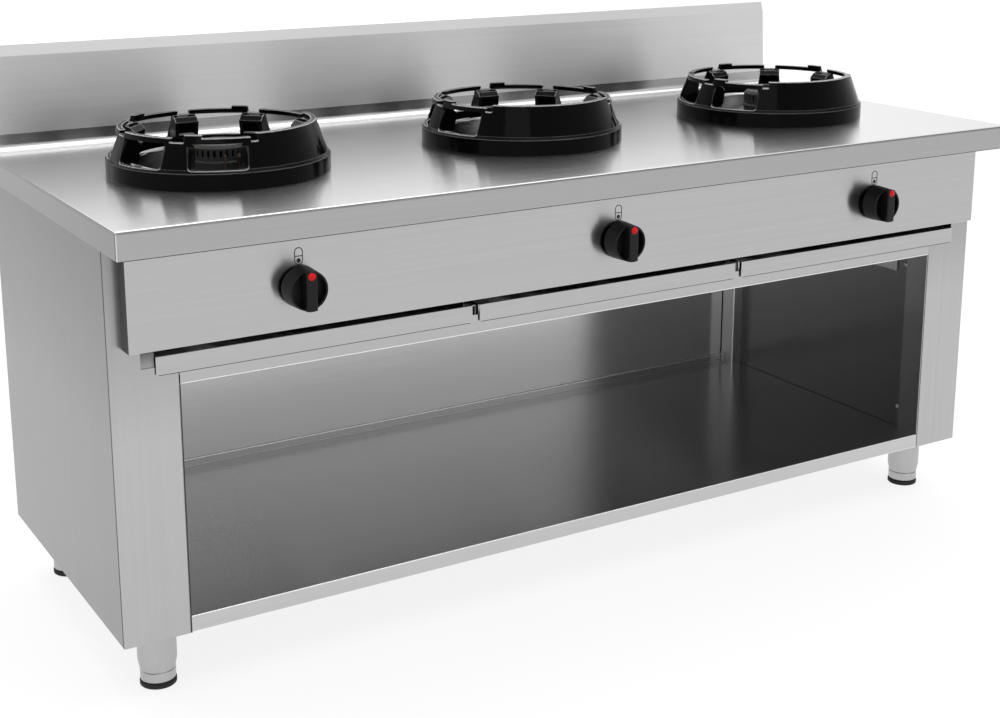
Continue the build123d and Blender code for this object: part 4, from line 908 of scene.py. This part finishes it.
class WOKRANGE_OT_studio(bpy.types.Operator):
    """Set the camera, the pale floor and the soft light."""

    bl_idname = "wokrange.studio"
    bl_label = "Studio"

    def execute(self, context):
        scene = context.scene
        setup = scene.wokrange_studio
        camera = bpy.data.objects.new("camera", bpy.data.cameras.new("camera"))
        scene.collection.objects.link(camera)
        camera.location = CAMERA_PLACE
        camera.rotation_euler = self.turned(CAMERA_AIM)
        camera.data.lens = setup.lens
        camera.data.sensor_width = 36.0
        camera.data.shift_y = setup.lift
        camera.data.clip_start = 0.01
        scene.camera = camera
        self.floor(scene)
        self.sky(scene, setup)
        self.lamp(scene, setup)
        scene.view_settings.view_transform = "Standard"
        return {"FINISHED"}

    def turned(self, aim):
        """The rotation of a camera or lamp that looks along a direction."""
        return Vector(aim).to_track_quat("-Z", "Y").to_euler()

    def floor(self, scene):
        """A wide pale floor that keeps the range's soft shadow."""
        mesh = bpy.data.meshes.new("floor")
        shape = bmesh.new()
        bmesh.ops.create_circle(shape, cap_ends=True, segments=96, radius=FLOOR_RADIUS)
        shape.to_mesh(mesh)
        shape.free()
        floor = bpy.data.objects.new("floor", mesh)
        scene.collection.objects.link(floor)
        material = bpy.data.materials.new("floor_paint")
        material.use_nodes = True
        tree = material.node_tree
        paint = tree.nodes["Principled BSDF"]
        paint.inputs["Base Color"].default_value = (*FLOOR_GREY, 1.0)
        paint.inputs["Roughness"].default_value = 0.9
        paint.inputs["Specular IOR Level"].default_value = 0.0
        path = tree.nodes.new("ShaderNodeLightPath")
        seen = self.any_of(tree, path, ("Is Camera Ray", "Is Glossy Ray", "Is Transmission Ray"))
        glow = tree.nodes.new("ShaderNodeEmission")
        tree.links.new(self.product(tree, seen, FLOOR_GLOW), glow.inputs["Strength"])
        both = tree.nodes.new("ShaderNodeAddShader")
        tree.links.new(paint.outputs[0], both.inputs[0])
        tree.links.new(glow.outputs[0], both.inputs[1])
        tree.links.new(both.outputs[0], tree.nodes["Material Output"].inputs["Surface"])
        mesh.materials.append(material)

    def any_of(self, tree, path, kinds):
        """1 where a ray is of one of the kinds."""
        total = path.outputs[kinds[0]]
        for kind in kinds[1:]:
            step = tree.nodes.new("ShaderNodeMath")
            step.operation = "MAXIMUM"
            tree.links.new(total, step.inputs[0])
            tree.links.new(path.outputs[kind], step.inputs[1])
            total = step.outputs[0]
        return total

    def sky(self, scene, setup):
        """A white horizon all round that darkens upward, with two broad soft lights overhead."""
        world = bpy.data.worlds.new("studio")
        scene.world = world
        world.use_nodes = True
        tree = world.node_tree
        direction = tree.nodes.new("ShaderNodeTexCoord").outputs["Generated"]
        split = tree.nodes.new("ShaderNodeSeparateXYZ")
        tree.links.new(direction, split.inputs[0])
        total = self.ramp(tree, split.outputs["Z"], *HORIZON)
        for aim, edges, power in SOFT_LIGHTS:
            toward = tree.nodes.new("ShaderNodeVectorMath")
            toward.operation = "DOT_PRODUCT"
            toward.inputs[1].default_value = aim
            tree.links.new(direction, toward.inputs[0])
            soft = self.ramp(tree, toward.outputs["Value"], edges, (0.0, power))
            both = tree.nodes.new("ShaderNodeMath")
            tree.links.new(total, both.inputs[0])
            tree.links.new(soft, both.inputs[1])
            total = both.outputs[0]
        light = tree.nodes["Background"]
        light.inputs["Color"].default_value = (1.0, 1.0, 1.0, 1.0)
        tree.links.new(self.product(tree, total, setup.sky), light.inputs["Strength"])

    def ramp(self, tree, value, old, new):
        """Moves a value from an old range to a new one."""
        node = tree.nodes.new("ShaderNodeMapRange")
        tree.links.new(value, node.inputs["Value"])
        for key, level in zip(("From Min", "From Max", "To Min", "To Max"), (*old, *new)):
            node.inputs[key].default_value = level
        return node.outputs[0]

    def product(self, tree, value, factor):
        """A value times a number."""
        node = tree.nodes.new("ShaderNodeMath")
        node.operation = "MULTIPLY"
        tree.links.new(value, node.inputs[0])
        node.inputs[1].default_value = factor
        return node.outputs[0]

    def lamp(self, scene, setup):
        """A square lamp that faces the middle of the range."""
        light = bpy.data.lights.new("fill_lamp", "AREA")
        light.size = LAMP_SIZE
        light.energy = setup.key
        lamp = bpy.data.objects.new("fill_lamp", light)
        scene.collection.objects.link(lamp)
        lamp.location = LAMP_PLACE
        lamp.rotation_euler = self.turned(Vector(LAMP_TARGET) - Vector(LAMP_PLACE))


OPERATORS = (
    WOKRANGE_OT_worktop,
    WOKRANGE_OT_cabinet,
    WOKRANGE_OT_compartment,
    WOKRANGE_OT_burners,
    WOKRANGE_OT_gas_line,
    WOKRANGE_OT_controls,
    WOKRANGE_OT_legs,
    WOKRANGE_OT_marks,
    WOKRANGE_OT_joint_lines,
    WOKRANGE_OT_liner_screws,
    WOKRANGE_OT_gas_thread,
    WOKRANGE_OT_studio,
)
SETTINGS = {
    "wokrange_steel": SteelFinish,
    "wokrange_casting": CastingFinish,
    "wokrange_controls": ControlFinish,
    "wokrange_studio": StudioSetup,
}


class WOKRANGE_PT_pieces(bpy.types.Panel):
    """The steps and settings of the wok range."""

    bl_idname = "WOKRANGE_PT_pieces"
    bl_label = "Wok range"
    bl_space_type = "VIEW_3D"
    bl_region_type = "UI"
    bl_category = "Wok range"

    def draw(self, context):
        for name, settings in SETTINGS.items():
            group = getattr(context.scene, name)
            box = self.layout.box()
            for key in settings.__annotations__:
                box.prop(group, key)
        for operator in OPERATORS:
            self.layout.operator(operator.bl_idname)


def register():
    for kind in (*SETTINGS.values(), *OPERATORS, WOKRANGE_PT_pieces):
        bpy.utils.register_class(kind)
    for name, kind in SETTINGS.items():
        setattr(bpy.types.Scene, name, PointerProperty(type=kind))


def unregister():
    for name in SETTINGS:
        delattr(bpy.types.Scene, name)
    for kind in (WOKRANGE_PT_pieces, *reversed(OPERATORS), *reversed(SETTINGS.values())):
        bpy.utils.unregister_class(kind)


def main():
    """Makes the whole scene."""
    register()
    for operator in OPERATORS:
        getattr(bpy.ops.wokrange, operator.bl_idname.split(".")[1])()


if __name__ == "__main__":
    main()
